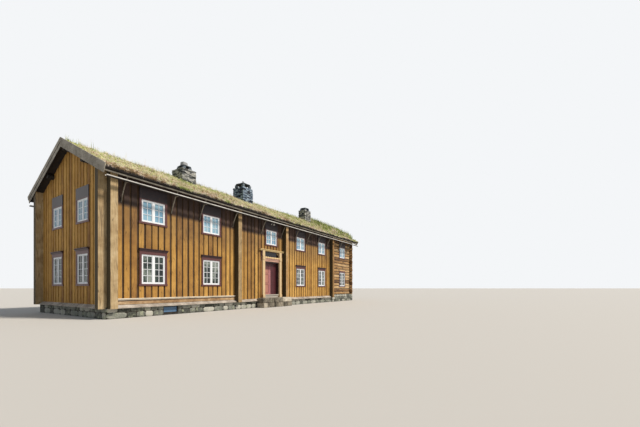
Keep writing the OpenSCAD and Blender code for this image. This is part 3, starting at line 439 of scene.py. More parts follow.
def soil(name):
    """Turf surface under the grass: matted roots, moss and dry stalks."""
    material, tree, place = start_material(name)
    tone, mat = two_noises(tree, place, (1.1, 6.0, 0.7), (9.0, 8.0, 0.8), 0.5)
    colour = add(tree, "ShaderNodeValToRGB", {"Fac": tone},
                 [(0.38, "#3f3e29"), (0.46, "#868952"), (0.54, "#c2be88"), (0.64, "#e2dab8")])
    end_material(tree, colour, 0.95, mat, 12.0)
    return material


# Mesh building


class Shape:
    """Collects points and faces for one piece."""

    def __init__(self):
        self.points = []
        self.faces = []
        self.tones = []

    def loft(self, rings, tone=0.5):
        """Skins rings of equally many points and closes both ends; tone is kept for the material."""
        count = len(rings[0])
        first = len(self.points)
        for ring in rings:
            self.points.extend(tuple(p) for p in ring)
            self.tones.extend([tone] * count)
        for low in range(first, first + (len(rings) - 1) * count, count):
            for i in range(count):
                j = (i + 1) % count
                self.faces.append((low + i, low + j, low + count + j, low + count + i))
        last = len(self.points) - count
        self.faces.append(tuple(range(first, first + count))[::-1])
        self.faces.append(tuple(range(last, last + count)))

    def bar(self, low, high, chamfer=EDGE, top=None, place=Matrix(), tone=0.5):
        """A box, chamfered along its longest axis; top(point) may lower its upper end."""
        size = [high[i] - low[i] for i in range(3)]
        long_axis = size.index(max(size))
        u, v = [i for i in range(3) if i != long_axis]
        c = min(chamfer, size[u] * 0.4, size[v] * 0.4)
        outline = [(low[u], low[v]), (high[u], low[v]), (high[u], high[v]), (low[u], high[v])]
        if c:
            outline = [(low[u] + c, low[v]), (high[u] - c, low[v]), (high[u], low[v] + c),
                       (high[u], high[v] - c), (high[u] - c, high[v]), (low[u] + c, high[v]),
                       (low[u], high[v] - c), (low[u], low[v] + c)]
        rings = []
        for at in (low[long_axis], high[long_axis]):
            ring = []
            for a, b in outline:
                point = [0.0, 0.0, 0.0]
                point[u], point[v], point[long_axis] = a, b, at
                if top and at == high[long_axis]:
                    point[2] = min(point[2], top(point))
                ring.append(place @ Vector(point))
            rings.append(ring)
        self.loft(rings, tone)

    def surround(self, low, high, width, back, front, stiles_run, place=Matrix()):
        """Four bars inside a rectangle of u and z; the upright pair runs through, or else the level pair."""
        (a, z0), (b, z1) = low, high
        level, upright = (width, 0) if stiles_run else (0, width)
        bars = (
            (a, z0 + upright, a + width, z1 - upright), (b - width, z0 + upright, b, z1 - upright),
            (a + level, z0, b - level, z0 + width), (a + level, z1 - width, b - level, z1),
        )
        for left, foot, right, head in bars:
            self.bar((left, back, foot), (right, front, head), place=place)

    def prism(self, outline, back, front):
        """An outline of x and z, as thick as from back to front."""
        self.loft([[(u, y, z) for u, z in outline] for y in (back, front)])

    def slab(self, low, high, seed, rough, tone=0.5):
        """A flat rough stone inside a box, with a wavering outline and edges knocked off."""
        around = 28
        squareness = 9
        size = (high - low) / 2
        middle = (high + low) / 2
        edge = min(0.02, size.z * 0.6)
        rings = []
        for z, inset in ((low.z, edge), (low.z + edge, 0.0), (high.z - edge, 0.0), (high.z, edge)):
            ring = []
            for i in range(around):
                c, s = math.cos(math.tau * i / around), math.sin(math.tau * i / around)
                corner = (abs(c) ** squareness + abs(s) ** squareness) ** (-1 / squareness)
                dent = rough * (0.5 + noise.noise(Vector((c * 2.6, s * 2.6, seed + z * 9)))) + inset
                ring.append((middle.x + c * corner * (size.x - dent),
                             middle.y + s * corner * (size.y - dent), z))
            rings.append(ring)
        self.loft(rings, tone)

    def piece(self, name, finish, slot, body=HOUSE, smooth=False):
        """The finished object: closed, facing outwards, riding on its body."""
        mesh = bpy.data.meshes.new(name)
        mesh.from_pydata(self.points, [], self.faces)
        face_outwards(mesh)
        mesh.attributes.new("tone", "FLOAT", "POINT").data.foreach_set("value", self.tones)
        return finish_piece(name, mesh, finish, body, smooth)


def face_outwards(mesh):
    """Drops points that no face uses and turns every face outwards."""
    tidy = bmesh.new()
    tidy.from_mesh(mesh)
    bmesh.ops.delete(tidy, geom=[v for v in tidy.verts if not v.link_faces], context="VERTS")
    bmesh.ops.recalc_face_normals(tidy, faces=tidy.faces)
    tidy.to_mesh(mesh)
    tidy.free()


def dress(mesh, material):
    """Gives a mesh one material."""
    mesh.materials.clear()
    mesh.materials.append(material)


def finish_piece(name, mesh, finish, body=HOUSE, smooth=False):
    """Links a mesh as a piece of the object, in the material named finish."""
    dress(mesh, bpy.data.materials[finish])
    if smooth:
        mesh.shade_smooth()
    else:
        mesh.shade_flat()
    obj = bpy.data.objects.new(name, mesh)
    bpy.context.scene.collection.objects.link(obj)
    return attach(obj, body)


def islands(node):
    """The box of each separate solid in a CAD node."""
    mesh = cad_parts[node].data
    owner = {}
    keys = [tuple(round(c, 5) for c in v.co) for v in mesh.vertices]

    def find(key):
        while owner.setdefault(key, key) != key:
            owner[key] = owner[owner[key]]
            key = owner[key]
        return key

    for polygon in mesh.polygons:
        first = find(keys[polygon.vertices[0]])
        for index in polygon.vertices[1:]:
            owner[find(keys[index])] = first
    boxes = {}
    for key in keys:
        low, high = boxes.setdefault(find(key), (list(key), list(key)))
        for i in range(3):
            low[i] = min(low[i], key[i])
            high[i] = max(high[i], key[i])
    return [(Vector(low), Vector(high)) for low, high in boxes.values()]


# Each wall face seen from outside: u to the right, v outwards, z up
WALLS = {wall: Matrix(((*u, 0, 0), (*v, 0, 0), (0, 0, 1, 0), (0, 0, 0, 1))) for wall, u, v in (
    ("front", (1, 0), (0, -1)), ("back", (-1, 0), (0, 1)),
    ("left", (0, -1), (-1, 0)), ("right", (0, 1), (1, 0)))}

# The light over the door is the only pane as low as this
LIGHT_H = 0.5


class Window:
    """A window as its wall sees it: middle u, half its frame's width, sill, head and the wall's face v."""

    def __init__(self, low, high):
        size = high - low
        middle = (low + high) / 2
        if size.y < size.x:
            self.wall = "front" if middle.y < 0 else "back"
        else:
            self.wall = "left" if middle.x < 0 else "right"
        self.half = max(size.x, size.y) / 2 + FRAME_W
        self.place = WALLS[self.wall]
        inwards = self.place.inverted()
        self.u = (inwards @ middle).x
        self.face = max((inwards @ low).y, (inwards @ high).y) + PANE_SET
        self.sill = low.z - FRAME_W
        self.head = high.z + FRAME_W


def windows():
    """Every window, from the CAD panes, without the light over the door."""
    return [Window(low, high) for low, high in islands("window_panes") if high.z - low.z > LIGHT_H]


def start_nodes(name, **sockets):
    """A new Geometry Nodes tree with a geometry, the named inputs and a material, and what they give."""
    tree = bpy.data.node_groups.new(name, "GeometryNodeTree")
    tree.interface.new_socket("Geometry", in_out="OUTPUT", socket_type="NodeSocketGeometry")
    for socket, kind in {"Geometry": "Geometry", **sockets, "Material": "Material"}.items():
        tree.interface.new_socket(socket, in_out="INPUT", socket_type="NodeSocket" + kind)
    return tree, add(tree, "NodeGroupInput").outputs


def end_nodes(tree, given, geometry):
    """Makes the instances real and sets their material."""
    real = add(tree, "GeometryNodeRealizeInstances", {"Geometry": geometry})
    dressed = add(tree, "GeometryNodeSetMaterial", {"Geometry": real, "Material": given["Material"]})
    add(tree, "NodeGroupOutput", {"Geometry": dressed})
    return tree


def bar_tree():
    """Turns every edge of a mesh into a square bar with closed ends."""
    tree, given = start_nodes("square bars", Width="Float")
    curve = add(tree, "GeometryNodeMeshToCurve", {"Mesh": given["Geometry"]})
    section = add(tree, "GeometryNodeCurvePrimitiveQuadrilateral",
                  {"Width": given["Width"], "Height": given["Width"]})
    swept = add(tree, "GeometryNodeCurveToMesh",
                {"Curve": curve, "Profile Curve": section, "Fill Caps": True})
    flat = add(tree, "GeometryNodeSetShadeSmooth", {"Geometry": swept, "Shade Smooth": False})
    return end_nodes(tree, given, flat)


def scatter_tree():
    """Scatters copies of an object over a surface, each turned and sized at random by a fixed seed.

    Turn is the middle of the turns about z, Swing how far they go to either side.
    """
    tree, given = start_nodes("scattered tufts", Tuft="Object", Density="Float", Seed="Int", Smallest="Float",
                              Largest="Float", Tilt="Float", Turn="Float", Swing="Float")
    points = add(tree, "GeometryNodeDistributePointsOnFaces",
                 {"Mesh": given["Geometry"], "Density": given["Density"], "Seed": given["Seed"]})
    tuft = add(tree, "GeometryNodeObjectInfo", {"Object": given["Tuft"]})
    ends = []
    for way in ("SUBTRACT", "ADD"):
        end = add(tree, "ShaderNodeMath", {0: given["Turn"], 1: given["Swing"]}, operation=way)
        ends.append(add(tree, "ShaderNodeCombineXYZ", {"Z": end}))
    turn = add(tree, "FunctionNodeRandomValue", {"Min": ends[0], "Max": ends[1]}, data_type="FLOAT_VECTOR")
    lean = add(tree, "ShaderNodeCombineXYZ", {"X": given["Tilt"]})
    aim = add(tree, "ShaderNodeVectorMath", {0: turn, 1: lean}, operation="ADD")
    size = add(tree, "FunctionNodeRandomValue", {2: given["Smallest"], 3: given["Largest"], "Seed": 5},
               data_type="FLOAT")
    copies = add(tree, "GeometryNodeInstanceOnPoints",
                 {"Points": points, "Instance": tuft.outputs["Geometry"], "Rotation": aim, "Scale": size})
    return end_nodes(tree, given, copies)


def run_nodes(name, ground, tree, **inputs):
    """Runs a Geometry Nodes tree on a scratch object, drops that and gives the result as a plain mesh."""
    modifier = ground.modifiers.new(name, "NODES")
    modifier.node_group = tree
    for item in tree.interface.items_tree:
        if item.in_out == "INPUT" and item.name in inputs:
            modifier[item.identifier] = inputs[item.name]
    bpy.context.view_layer.update()
    depsgraph = bpy.context.evaluated_depsgraph_get()
    mesh = bpy.data.meshes.new_from_object(ground.evaluated_get(depsgraph))
    mesh.name = name
    drop(ground)
    return mesh


def scratch_object(name, points, edges=(), faces=()):
    """An object that only feeds a node tree and is removed after it."""
    mesh = bpy.data.meshes.new(name)
    mesh.from_pydata([tuple(p) for p in points], list(edges), list(faces))
    obj = bpy.data.objects.new(name, mesh)
    bpy.context.scene.collection.objects.link(obj)
    return obj


def drop(obj):
    bpy.data.objects.remove(obj, do_unlink=True)


# Operators


class FARMHOUSE_OT_paint_frame(bpy.types.Operator):
    """Gives every CAD node its finish"""

    bl_idname = "farmhouse.paint_frame"
    bl_label = "Paint the frame"

    def execute(self, context):
        tone = context.scene.farmhouse_colours
        self.paint_timber(tone)
        self.paint_joinery(tone)
        self.finish_stone()
        return {"FINISHED"}

    def give(self, material, *nodes):
        """Gives CAD nodes a material."""
        for node in nodes:
            dress(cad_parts[node].data, material)

    def paint_timber(self, tone):
        """Walls, roof and floors."""
        shades = (tone.boards_dark, tone.boards, "#d2a557")
        # Pine boards under old oil paint: golden ochre and matt, duller high up, and purple-brown below the
        # eave as painted shade of the eave
        self.give(weathered_wood("oiled pine boards", 2, shades, board="own",
                                 bands=((2.9, 3.9, ("#71502a", "#94703c", "#a9854c")),
                                        # Painted shade of the eave: purple-brown from about 4.5 m up
                                        (4.42, 4.58, ("#2c201b", "#43312a", "#5a453b")))),
                  "board_cladding")
        # The same boards on the gable, out of the eave's shade
        weathered_wood("oiled pine boards, gable", 2, shades, board="own")
        # The boards behind them: nearly black as painted shade, so that each gap reads as a deep line
        weathered_wood("under boards, dark with age", 2, ("#281b10", "#46321e", "#5e452a"))
        # Pine left bare: silver-grey and dull; painted shade where the roof boards look down, and the
        # brackets' copy is darker as painted shade under the eave
        self.give(weathered_wood("silvered pine along x", 0, ("#4d483f", "#777064", "#a09888"),
                                 fibre_mm=10.0),
                  "gutter_brackets")
        # Painted shade on the roof boards' faces that look down
        self.give(weathered_wood("silvered pine along y", 1, ("#5b564d", "#958f83", "#c9c3b6"), fibre_mm=10.0,
                                 under="#1c1612"),
                  "roof_boards_front", "roof_boards_back", "verge_boards")
        # Planks at the foot: grey sloping water board, orange-brown plank over it, a dark band of painted
        # shadow under the ledge, bleached ledge on top
        self.give(weathered_wood("foot planks", 0, ("#57504a", "#a79e93", "#ded7cd"),
                                 bands=((0.535, 0.545, ("#5d3c20", "#a58560", "#dcc6a2")),
                                        # Painted shadow under the ledge
                                        (0.660, 0.670, ("#20160f", "#3a2a1c", "#5a4430")),
                                        (0.712, 0.722, ("#c3b8a3", "#ece2ce", "#f3ecdd")))),
                  "sill_boards")
        # Hollowed logs: nearly black as painted shade of their undersides, with a pale rim on top as a
        # painted highlight
        self.give(weathered_wood("hollowed gutter logs", 0, ("#0b0907", "#1a1613", "#2f2924"),
                                 # Painted highlight on the rim; the near-black below it is painted shade
                                 bands=((5.300, 5.313, ("#b1afaa", "#e2e1dd", "#f3f2ef")),)),
                  "gutters")
        # Case planks: bleached tan, greyer on the hall's left, with painted shade on their flanks
        self.give(weathered_wood("weathered case planks", 2, ("#745831", "#bca57d", "#e6dcc4"), board=3.4,
                                 bands=((-3.0, -2.9, ("#664519", "#a47f4c", "#d2b98f")),), bands_by="X",
                                 # Painted shade on the flanks that look along x
                                 flank="#40361f"),
                  "corner_cases")
        # Pine logs in their bark: ridged and dull, nearly black as dark bark with the eave's shade painted in
        self.give(weathered_wood("turf log with bark", 0, ("#0c0a08", "#1a1612", "#38302a"), fibre_mm=20.0,
                                 bump_mm=6.0),
                  "purlins", "turf_logs")
        # Spruce floor, scrubbed with sand: pale brown boards with soft tone steps
        self.give(weathered_wood("scrubbed floor boards", 0, ("#6b5236", "#8f724e", "#b39a72"), board=0.18,
                                 across=1),
                  "ground_floor", "upper_floor")
        # Bare logs, axe-hewn: orange-brown, paler at the right end, black seams between them, partly painted
        # shade
        self.give(log_timber("bare pine logs along x", 0, LOG_BASE),
                  "front_wall_left", "front_wall_over_door", "front_wall_right", "back_wall", "log_bay_front",
                  "log_bay_back")
        self.give(log_timber("bare pine logs along y", 1, LOG_BASE - LOG_PITCH / 2),
                  "left_gable_wall", "right_gable_wall")

    def paint_joinery(self, tone):
        """Windows, door, hatch and lamp."""
        # Linseed oil paint, brushed: half matt, with brush lines and worn spots; darker over the upper head
        # panels as painted shade of the eave
        self.give(painted_wood("maroon oil paint", tone.maroon, "#7a4a3c", above=(4.90, 4.98, "#1b0b11")),
                  "window_casings")
        # Darker paint of the cornices
        self.give(painted_wood("plum oil paint", "#351c21", "#5a3632"), "window_cornices")
        # Sashes and bars: the only clean, bright paint on the house
        self.give(painted_wood("white oil paint", tone.white, "#d9d5cb", wear=0.2), "window_frames")
        # Left leaf: faded to salmon where the sun reaches it; wine-red at the top as painted shade of the
        # frieze
        self.give(painted_wood("salmon oil paint", "#ae7668", "#c09078", wear=0.6,
                               above=(2.34, 2.44, "#56292f")),
                  "left_door_leaf")
        # Right leaf and the mouldings: wine-red, the mouldings' own paint and on the right leaf a painted
        # shadow of the jamb
        self.give(painted_wood("wine-red oil paint", "#4b1f26", "#754040"), "right_door_leaf")
        # Stiles at the middle of the door: rose, chalky, darker at the top as painted shade of the frieze
        painted_wood("rose oil paint", tone.door, "#cf9c98", wear=0.5, above=(2.34, 2.44, "#64343a"))
        # The line over the door: plain brown
        painted_wood("brown oil paint", "#5d3a28", "#7d5a45", along=0)
        # Door frame: brown-black, pale at the threshold
        self.give(painted_wood("brown-black oil paint", "#b9b3a8", "#8d8272",
                               above=(0.784, 0.786, "#33211f")),
                  "door_frame")
        # Pilasters: warm cream, brushed upwards; the flat boards beside them are dull ochre
        self.give(painted_wood("cream oil paint", "#d0b88f", "#94683a", wear=0.8, beside_door="#8b6336"),
                  "door_pilasters")
        # Frieze: pinkish cream that has weathered in streaks
        self.give(painted_wood("pink-cream oil paint", "#cfa592", "#dcc0a6", wear=0.6, along=0,
                               beside_door="#43232a"),
                  "door_frieze")
        # Cornice and scallops: straw yellow, worn to the wood
        self.give(painted_wood("straw-yellow oil paint", "#dcc48d", "#a98a55", wear=0.7, along=0),
                  "door_canopy")
        # Hatch: chalky blue
        self.give(painted_wood("blue oil paint", "#5b7fa3", "#9aa9b3", wear=0.6, along=0), "cellar_hatch")
        # Window glass, drawn: wavy, with a painted reflection of the sky high up, and lower down painted
        # shade of the dark rooms and a painted reflection of the yard
        self.give(drawn_glass("drawn window glass"), "window_panes")
        # Enamelled lamp: smooth and white
        self.give(painted_wood("white enamel", "#e7e5de", "#cfccc2", wear=0.1, rough=0.25), "eave_lamp")

    def finish_stone(self):
        """Foundation, steps, chimneys and turf."""
        # Earth and shade between the stones: nearly black
        self.give(stone("earth in the joints", ("#12100d", "#26221c", "#3b352b")),
                  "front_foundation", "back_foundation", "left_foundation", "right_foundation", "door_steps",
                  *CHIMNEYS)
        # Field stone: mottled grey-brown, each stone with its own tone
        stone("field stone", ("#3d403a", "#80837a", "#b9b8ae"), lichen="#9fa58c", share=0.55, soft=1.5)
        # Step stones: flat, worn and dull
        stone("worn step stone", ("#4b463d", "#968d7d", "#d2cab9"), grain_mm=45.0, lichen="#8b8a76",
              share=0.5, soft=1.6)
        # Slate: blue-grey, split in layers, with pale streaks
        self.give(stone("slate", ("#29323b", "#5c6873", "#9da6ab"), grain_mm=30.0, layered=True),
                  "chimney_corner_stones", "chimney_caps", "chimney_top_stones")
        # Grey-brown slate of the outer chimneys, warm and pale where lichen has taken it
        stone("laid slate", ("#1f2428", "#63686b", "#b9bab7"), grain_mm=40.0, layered=True, lichen="#8f8b80",
              share=0.75, soft=1.4)
        # Bluer and darker slate of the middle chimney
        stone("laid blue slate", ("#0b1523", "#35475e", "#97a9bd"), grain_mm=40.0, layered=True, share=0.75,
              soft=1.4)
        # Slabs over the flues: black with smoke
        stone("dark cap slate", ("#16191d", "#2f363d", "#5f686e"), grain_mm=30.0, layered=True)
        # Turf under the grass: matted roots and moss, dull, brown to yellow-green
        self.give(soil("turf mat"), "turf_front", "turf_back")


class FARMHOUSE_OT_board_walls(bpy.types.Operator):
    """Clads the walls with under boards and cover boards, cut round the windows and the door"""

    bl_idname = "farmhouse.board_walls"
    bl_label = "Board the walls"

    def execute(self, context):
        size = context.scene.farmhouse_sizes
        rng = random.Random(11)
        covers, gable_covers, unders = Shape(), Shape(), Shape()
        low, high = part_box("board_cladding")
        door_low, door_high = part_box("door_frame")
        holes = {wall: [] for wall in WALLS}
        for window in windows():
            holes[window.wall].append((window.u - window.half, window.u + window.half,
                                       window.sill, window.head))
        holes["front"].append((door_low.x, door_high.x, 0.0, door_high.z))
        # The left room ends at the first case past the corner
        left_end = min((a.x + b.x) / 2 for a, b in islands("corner_cases")
                       if a.y < -HALF_DEPTH - 0.1 and a.x > low.x + 1.0)
        runs = (("front", low.x, left_end, LEDGE_TOP), ("front", left_end, high.x, low.z),
                ("back", -high.x, -low.x, low.z), ("left", -HALF_DEPTH, HALF_DEPTH, low.z))
        # How far under boards lie back, cover boards hang lower and are worn, and the narrowest board
        under_gap, overhang, cover_edge, narrowest = 0.008, 0.01, 0.004, 0.02
        for wall, start, end, foot in runs:
            face = -low.x if wall == "left" else HALF_DEPTH + CLAD_T
            under_face = face - size.board_t - under_gap
            outer_boards = gable_covers if wall == "left" else covers
            u = start
            while u < end - narrowest:
                pitch = size.board_pitch * rng.uniform(0.93, 1.07)
                stop = min(u + pitch, end)
                gap = (pitch - size.cover_w) * rng.uniform(0.85, 1.15)
                cover_face = face - rng.uniform(0.0, 0.005)
                self.board(unders, holes, wall, u, stop, foot, face - CLAD_T + LET_IN, under_face)
                self.board(outer_boards, holes, wall, u + gap / 2, stop - gap / 2, foot - overhang,
                           face - size.board_t, cover_face, cover_edge, rng.random())
                u = stop
        piece = covers.piece("cladding_boards", "oiled pine boards", "boards")
        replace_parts(piece, "board_cladding")
        gable_covers.piece("gable_boards", "oiled pine boards, gable", "boards")
        # The under boards' near-black is painted shade in the gaps
        unders.piece("under_boards", "under boards, dark with age", "boards")
        return {"FINISHED"}

    def board(self, shape, holes, wall, a, b, foot, inner, outer, chamfer=0.0, tone=0.5):
        """One upright board, split where a window or the door cuts it and ending just below the roof."""
        narrowest, shortest = 0.012, 0.02
        cuts = sorted({a, b} | {edge for hole in holes[wall] for edge in hole[:2] if a < edge < b})
        for left, right in zip(cuts, cuts[1:]):
            if right - left < narrowest:
                continue
            spans = [(foot, RIDGE_Z)]
            for start, end, sill, head in holes[wall]:
                if start < (left + right) / 2 < end:
                    spans = [s for lo, hi in spans for s in ((lo, min(hi, sill)), (max(lo, head), hi))
                             if s[1] - s[0] > shortest]
            for lo, hi in spans:
                if wall != "left":
                    hi = min(hi, roof_under(outer) - 0.004)
                top = self.under_verge if wall == "left" else None
                shape.bar((left, inner, lo), (right, outer, hi), chamfer, top, WALLS[wall], tone)

    def under_verge(self, point):
        """Height just under the roof over a point of the gable, where u runs along the slope."""
        return roof_under(point[0]) - 0.006


class FARMHOUSE_OT_glaze_windows(bpy.types.Operator):
    """Fits two sashes with glazing bars to every window, four panes high below and three above"""

    bl_idname = "farmhouse.glaze_windows"
    bl_label = "Glaze the windows"

    def execute(self, context):
        size = context.scene.farmhouse_sizes
        sash = Shape()
        points = []
        for window in windows():
            rows = 4 if window.head < UPPER_FLOOR else 3
            back = window.face - PANE_SET
            front = window.face - 0.012
            z0, z1 = window.sill + FRAME_W, window.head - FRAME_W
            for side in (-1, 1):
                a, b = sorted((window.u + side * MULLION_W / 2, window.u + side * (window.half - FRAME_W)))
                sash.surround((a, z0), (b, z1), size.sash_w, back, front, True, window.place)
                inner, outer = a + size.sash_w, b - size.sash_w
                foot, head = z0 + size.sash_w, z1 - size.sash_w
                ends = [((a + b) / 2, foot), ((a + b) / 2, head)]
                for row in range(1, rows):
                    z = foot + (head - foot) * row / rows
                    ends += [(inner, z), (outer, z)]
                points += [window.place @ Vector((u, back + size.bar_w / 2, z)) for u, z in ends]
        finish = "white oil paint"
        sash.piece("window_sashes", finish, "white_paint")
        lines = scratch_object("bar lines", points, [(i, i + 1) for i in range(0, len(points), 2)])
        mesh = run_nodes("glazing_bars", lines, bar_tree(), Width=size.bar_w,
                         Material=bpy.data.materials[finish])
        finish_piece("glazing_bars", mesh, finish)
        return {"FINISHED"}


class FARMHOUSE_OT_dress_door(bpy.types.Operator):
    """Nails mouldings on the door's leaves and scallops on the frieze over it"""

    bl_idname = "farmhouse.dress_door"
    bl_label = "Dress the door"

    def execute(self, context):
        for node, body, towards in (("left_door_leaf", "left_leaf", 1),
                                    ("right_door_leaf", "right_leaf", -1)):
            self.leaf(node, body, towards)
        self.scallops()
        self.scrolls()
        self.line()
        return {"FINISHED"}

    def leaf(self, node, body, towards):
        """A stile where the leaves meet, and a moulding round each of the leaf's three raised panels."""
        low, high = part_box(node)
        proud, stile_from, stile_to, shorter = 0.006, 0.006, 0.085, 0.02
        back, front = low.y + LET_IN, low.y - proud
        meeting = high.x if towards > 0 else low.x
        a, b = sorted((meeting - towards * stile_from, meeting - towards * stile_to))
        stile = Shape()
        stile.bar((a, front, low.z + shorter), (b, back, high.z - shorter))
        stile.piece(node + "_stile", "rose oil paint", "door_paint", body)
        mouldings = Shape()
        width = 0.018
        panel_h = (high.z - low.z - 4 * LEAF_RAIL) / 3
        for k in range(3):
            foot = low.z + LEAF_RAIL + k * (panel_h + LEAF_RAIL) - width
            mouldings.surround((low.x + LEAF_RAIL - width, foot),
                               (high.x - LEAF_RAIL + width, foot + panel_h + 2 * width),
                               width, front, back, False)
        mouldings.piece(node + "_mouldings", "wine-red oil paint", "door_paint", body)

    def half_frieze(self):
        """How far the carving on the frieze reaches to either side, just clear of the pilasters."""
        sides = [corner.x for box in islands("door_pilasters") for corner in box]
        return min(abs(x - DOOR_X) for x in sides) - 0.004

    def scallops(self):
        """Nails half-round scallops side by side on the frieze."""
        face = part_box("door_frieze")[0].y
        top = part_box("door_canopy")[0].z - 0.36
        count, steps, proud = 8, 8, 0.012
        reach = self.half_frieze()
        radius = reach / count * 0.94
        shape = Shape()
        for i in range(count):
            x = DOOR_X - reach + 2 * reach * (i + 0.5) / count
            turns = [math.pi * k / steps for k in range(steps + 1)]
            shape.prism([(x + radius * math.cos(t), top - radius + radius * math.sin(t)) for t in turns],
                        face + LET_IN, face - proud)
        shape.piece("frieze_scallops", "straw-yellow oil paint", "door_paint")

    def line(self):
        """Nails a line along the foot of the frieze."""
        low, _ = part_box("door_frieze")
        reach = self.half_frieze()
        foot, head, proud = 0.06, 0.09, 0.010
        shape = Shape()
        shape.bar((DOOR_X - reach, low.y - proud, low.z + foot),
                  (DOOR_X + reach, low.y + LET_IN, low.z + head))
        shape.piece("frieze_line", "brown oil paint", "door_paint")

    def scrolls(self):
        """Cuts a hollow corner piece for each upper corner of the light over the door."""
        low, high = next(box for box in islands("window_panes") if box[1].z - box[0].z <= LIGHT_H)
        shape = Shape()
        wide, tall, steps, lap, proud = 0.17, 0.15, 6, 0.004, 0.028
        for side, edge in ((-1, low.x), (1, high.x)):
            ring = [(edge + side * lap, high.z + lap), (edge + side * lap, high.z - tall)]
            for i in range(1, steps):
                turn = math.pi / 2 * i / steps
                ring.append((edge - side * wide * (1 - math.cos(turn)), high.z - tall * (1 - math.sin(turn))))
            ring.append((edge - side * wide, high.z + lap))
            shape.prism(ring, low.y + lap, low.y - proud)
        shape.piece("light_scrolls", "straw-yellow oil paint", "door_paint")


class FARMHOUSE_OT_lay_foundation(bpy.types.Operator):
    """Lays field stones against the foundation, larger and paler under the bare logs"""

    bl_idname = "farmhouse.lay_foundation"
    bl_label = "Lay the foundation stones"

    def execute(self, context):
        rng = random.Random(23)
        gap = context.scene.farmhouse_sizes.stone_gap / 2
        shape = Shape()
        low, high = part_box("front_foundation")
        plinth_x = max(b.x for a, b in islands("corner_cases"))
        side = HALF_DEPTH + FOUNDATION_OUT
        hatch_low, hatch_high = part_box("cellar_hatch")
        steps_low, steps_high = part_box("door_steps")
        leftover, shortest, clear = 0.15, 0.06, 0.02
        runs = (
            ("front", low.x, plinth_x, side, FOUNDATION_H - 0.02),
            ("front", plinth_x, high.x, -low.y, high.z),
            ("back", -plinth_x, -low.x, side, FOUNDATION_H),
            ("back", -high.x, -plinth_x, -low.y, high.z),
            ("left", -side, side, -low.x, FOUNDATION_H),
            ("right", low.y, -low.y, high.x, high.z),
        )
        for wall, start, end, face, top in runs:
            for z0, z1 in self.levels(rng, top):
                u = start
                while u < end:
                    stop = u + (z1 - z0) * rng.uniform(1.3, 3.2)
                    stop = end if end - stop < leftover else stop
                    spans = [(u, stop)]
                    if wall == "front" and z0 < hatch_high.z + clear and z1 > hatch_low.z - clear:
                        spans = self.minus(spans, hatch_low.x - clear / 2, hatch_high.x + clear / 2)
                    if wall == "front" and z1 < steps_high.z:
                        spans = self.minus(spans, steps_low.x, steps_high.x)
                    for a, b in spans:
                        if b - a > shortest:
                            self.stone(shape, rng, WALLS[wall], a + gap, b - gap, face, z0 + gap, z1 - gap)
                    u = stop
        shape.piece("foundation_stones", "field stone", "rubble", smooth=True)
        self.steps()
        return {"FINISHED"}

    def steps(self):
        """Lays each step at the door from three rough flat stones on six smaller ones."""
        rng = random.Random(8)
        shape = Shape()
        joint, lift = 0.003, 0.002
        for low, high in islands("door_steps"):
            middle = low.z + (high.z - low.z) * 0.5
            for z0, z1, count in ((low.z, middle, 6), (middle, high.z, 3)):
                cuts = [0.0] + [(i + rng.uniform(-0.28, 0.28)) / count for i in range(1, count)] + [1.0]
                for left, right in zip(cuts, cuts[1:]):
                    back = rng.uniform(0.0, 0.03)
                    a = Vector((low.x + (high.x - low.x) * left + joint, low.y + back, z0 + lift))
                    b = Vector((low.x + (high.x - low.x) * right - joint, high.y, z1 - rng.uniform(0, 0.012)))
                    shape.slab(a, b, rng.uniform(0, 50), 0.022, rng.random())
        piece = shape.piece("step_stones", "worn step stone", "rubble")
        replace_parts(piece, "door_steps")

    def levels(self, rng, top):
        """Splits a height into two or three courses."""
        count = 2 if top < 0.5 else 3
        cuts = [0.0, *(top * i / count + rng.uniform(-0.03, 0.03) for i in range(1, count)), top]
        return list(zip(cuts, cuts[1:]))

    def minus(self, spans, a, b):
        """Spans without the part from a to b."""
        return [s for lo, hi in spans for s in ((lo, min(hi, a)), (max(lo, b), hi)) if s[1] > s[0]]

    def stone(self, shape, rng, place, a, b, face, z0, z1):
        """A stone with a bulging, uneven face and round corners."""
        around = 14
        squareness = 5
        seed = Vector((rng.uniform(0, 99), rng.uniform(0, 99), rng.uniform(0, 99)))
        bulge = rng.uniform(0.006, 0.026)
        rings = []
        for part, depth in ((1.0, -0.05), (1.0, 0.0), (0.9, 0.55), (0.62, 0.92), (0.25, 1.0)):
            ring = []
            for i in range(around):
                c, s = math.cos(math.tau * i / around), math.sin(math.tau * i / around)
                corner = (abs(c) ** squareness + abs(s) ** squareness) ** (-1 / squareness)
                wander = 1 + 0.07 * noise.noise(seed + Vector((c * 1.3, s * 1.3, part)))
                radius = min(corner * part * wander, corner)
                u = (a + b) / 2 + c * radius * (b - a) / 2
                z = (z0 + z1) / 2 + s * radius * (z1 - z0) / 2
                v = face + depth
                if depth > 0:
                    v = face + depth * bulge + 0.004 * noise.noise(seed + Vector((u * 14, z * 14, 0)))
                ring.append(place @ Vector((u, v, max(z, 0.001))))
            rings.append(ring)
        shape.loft(rings, rng.random())


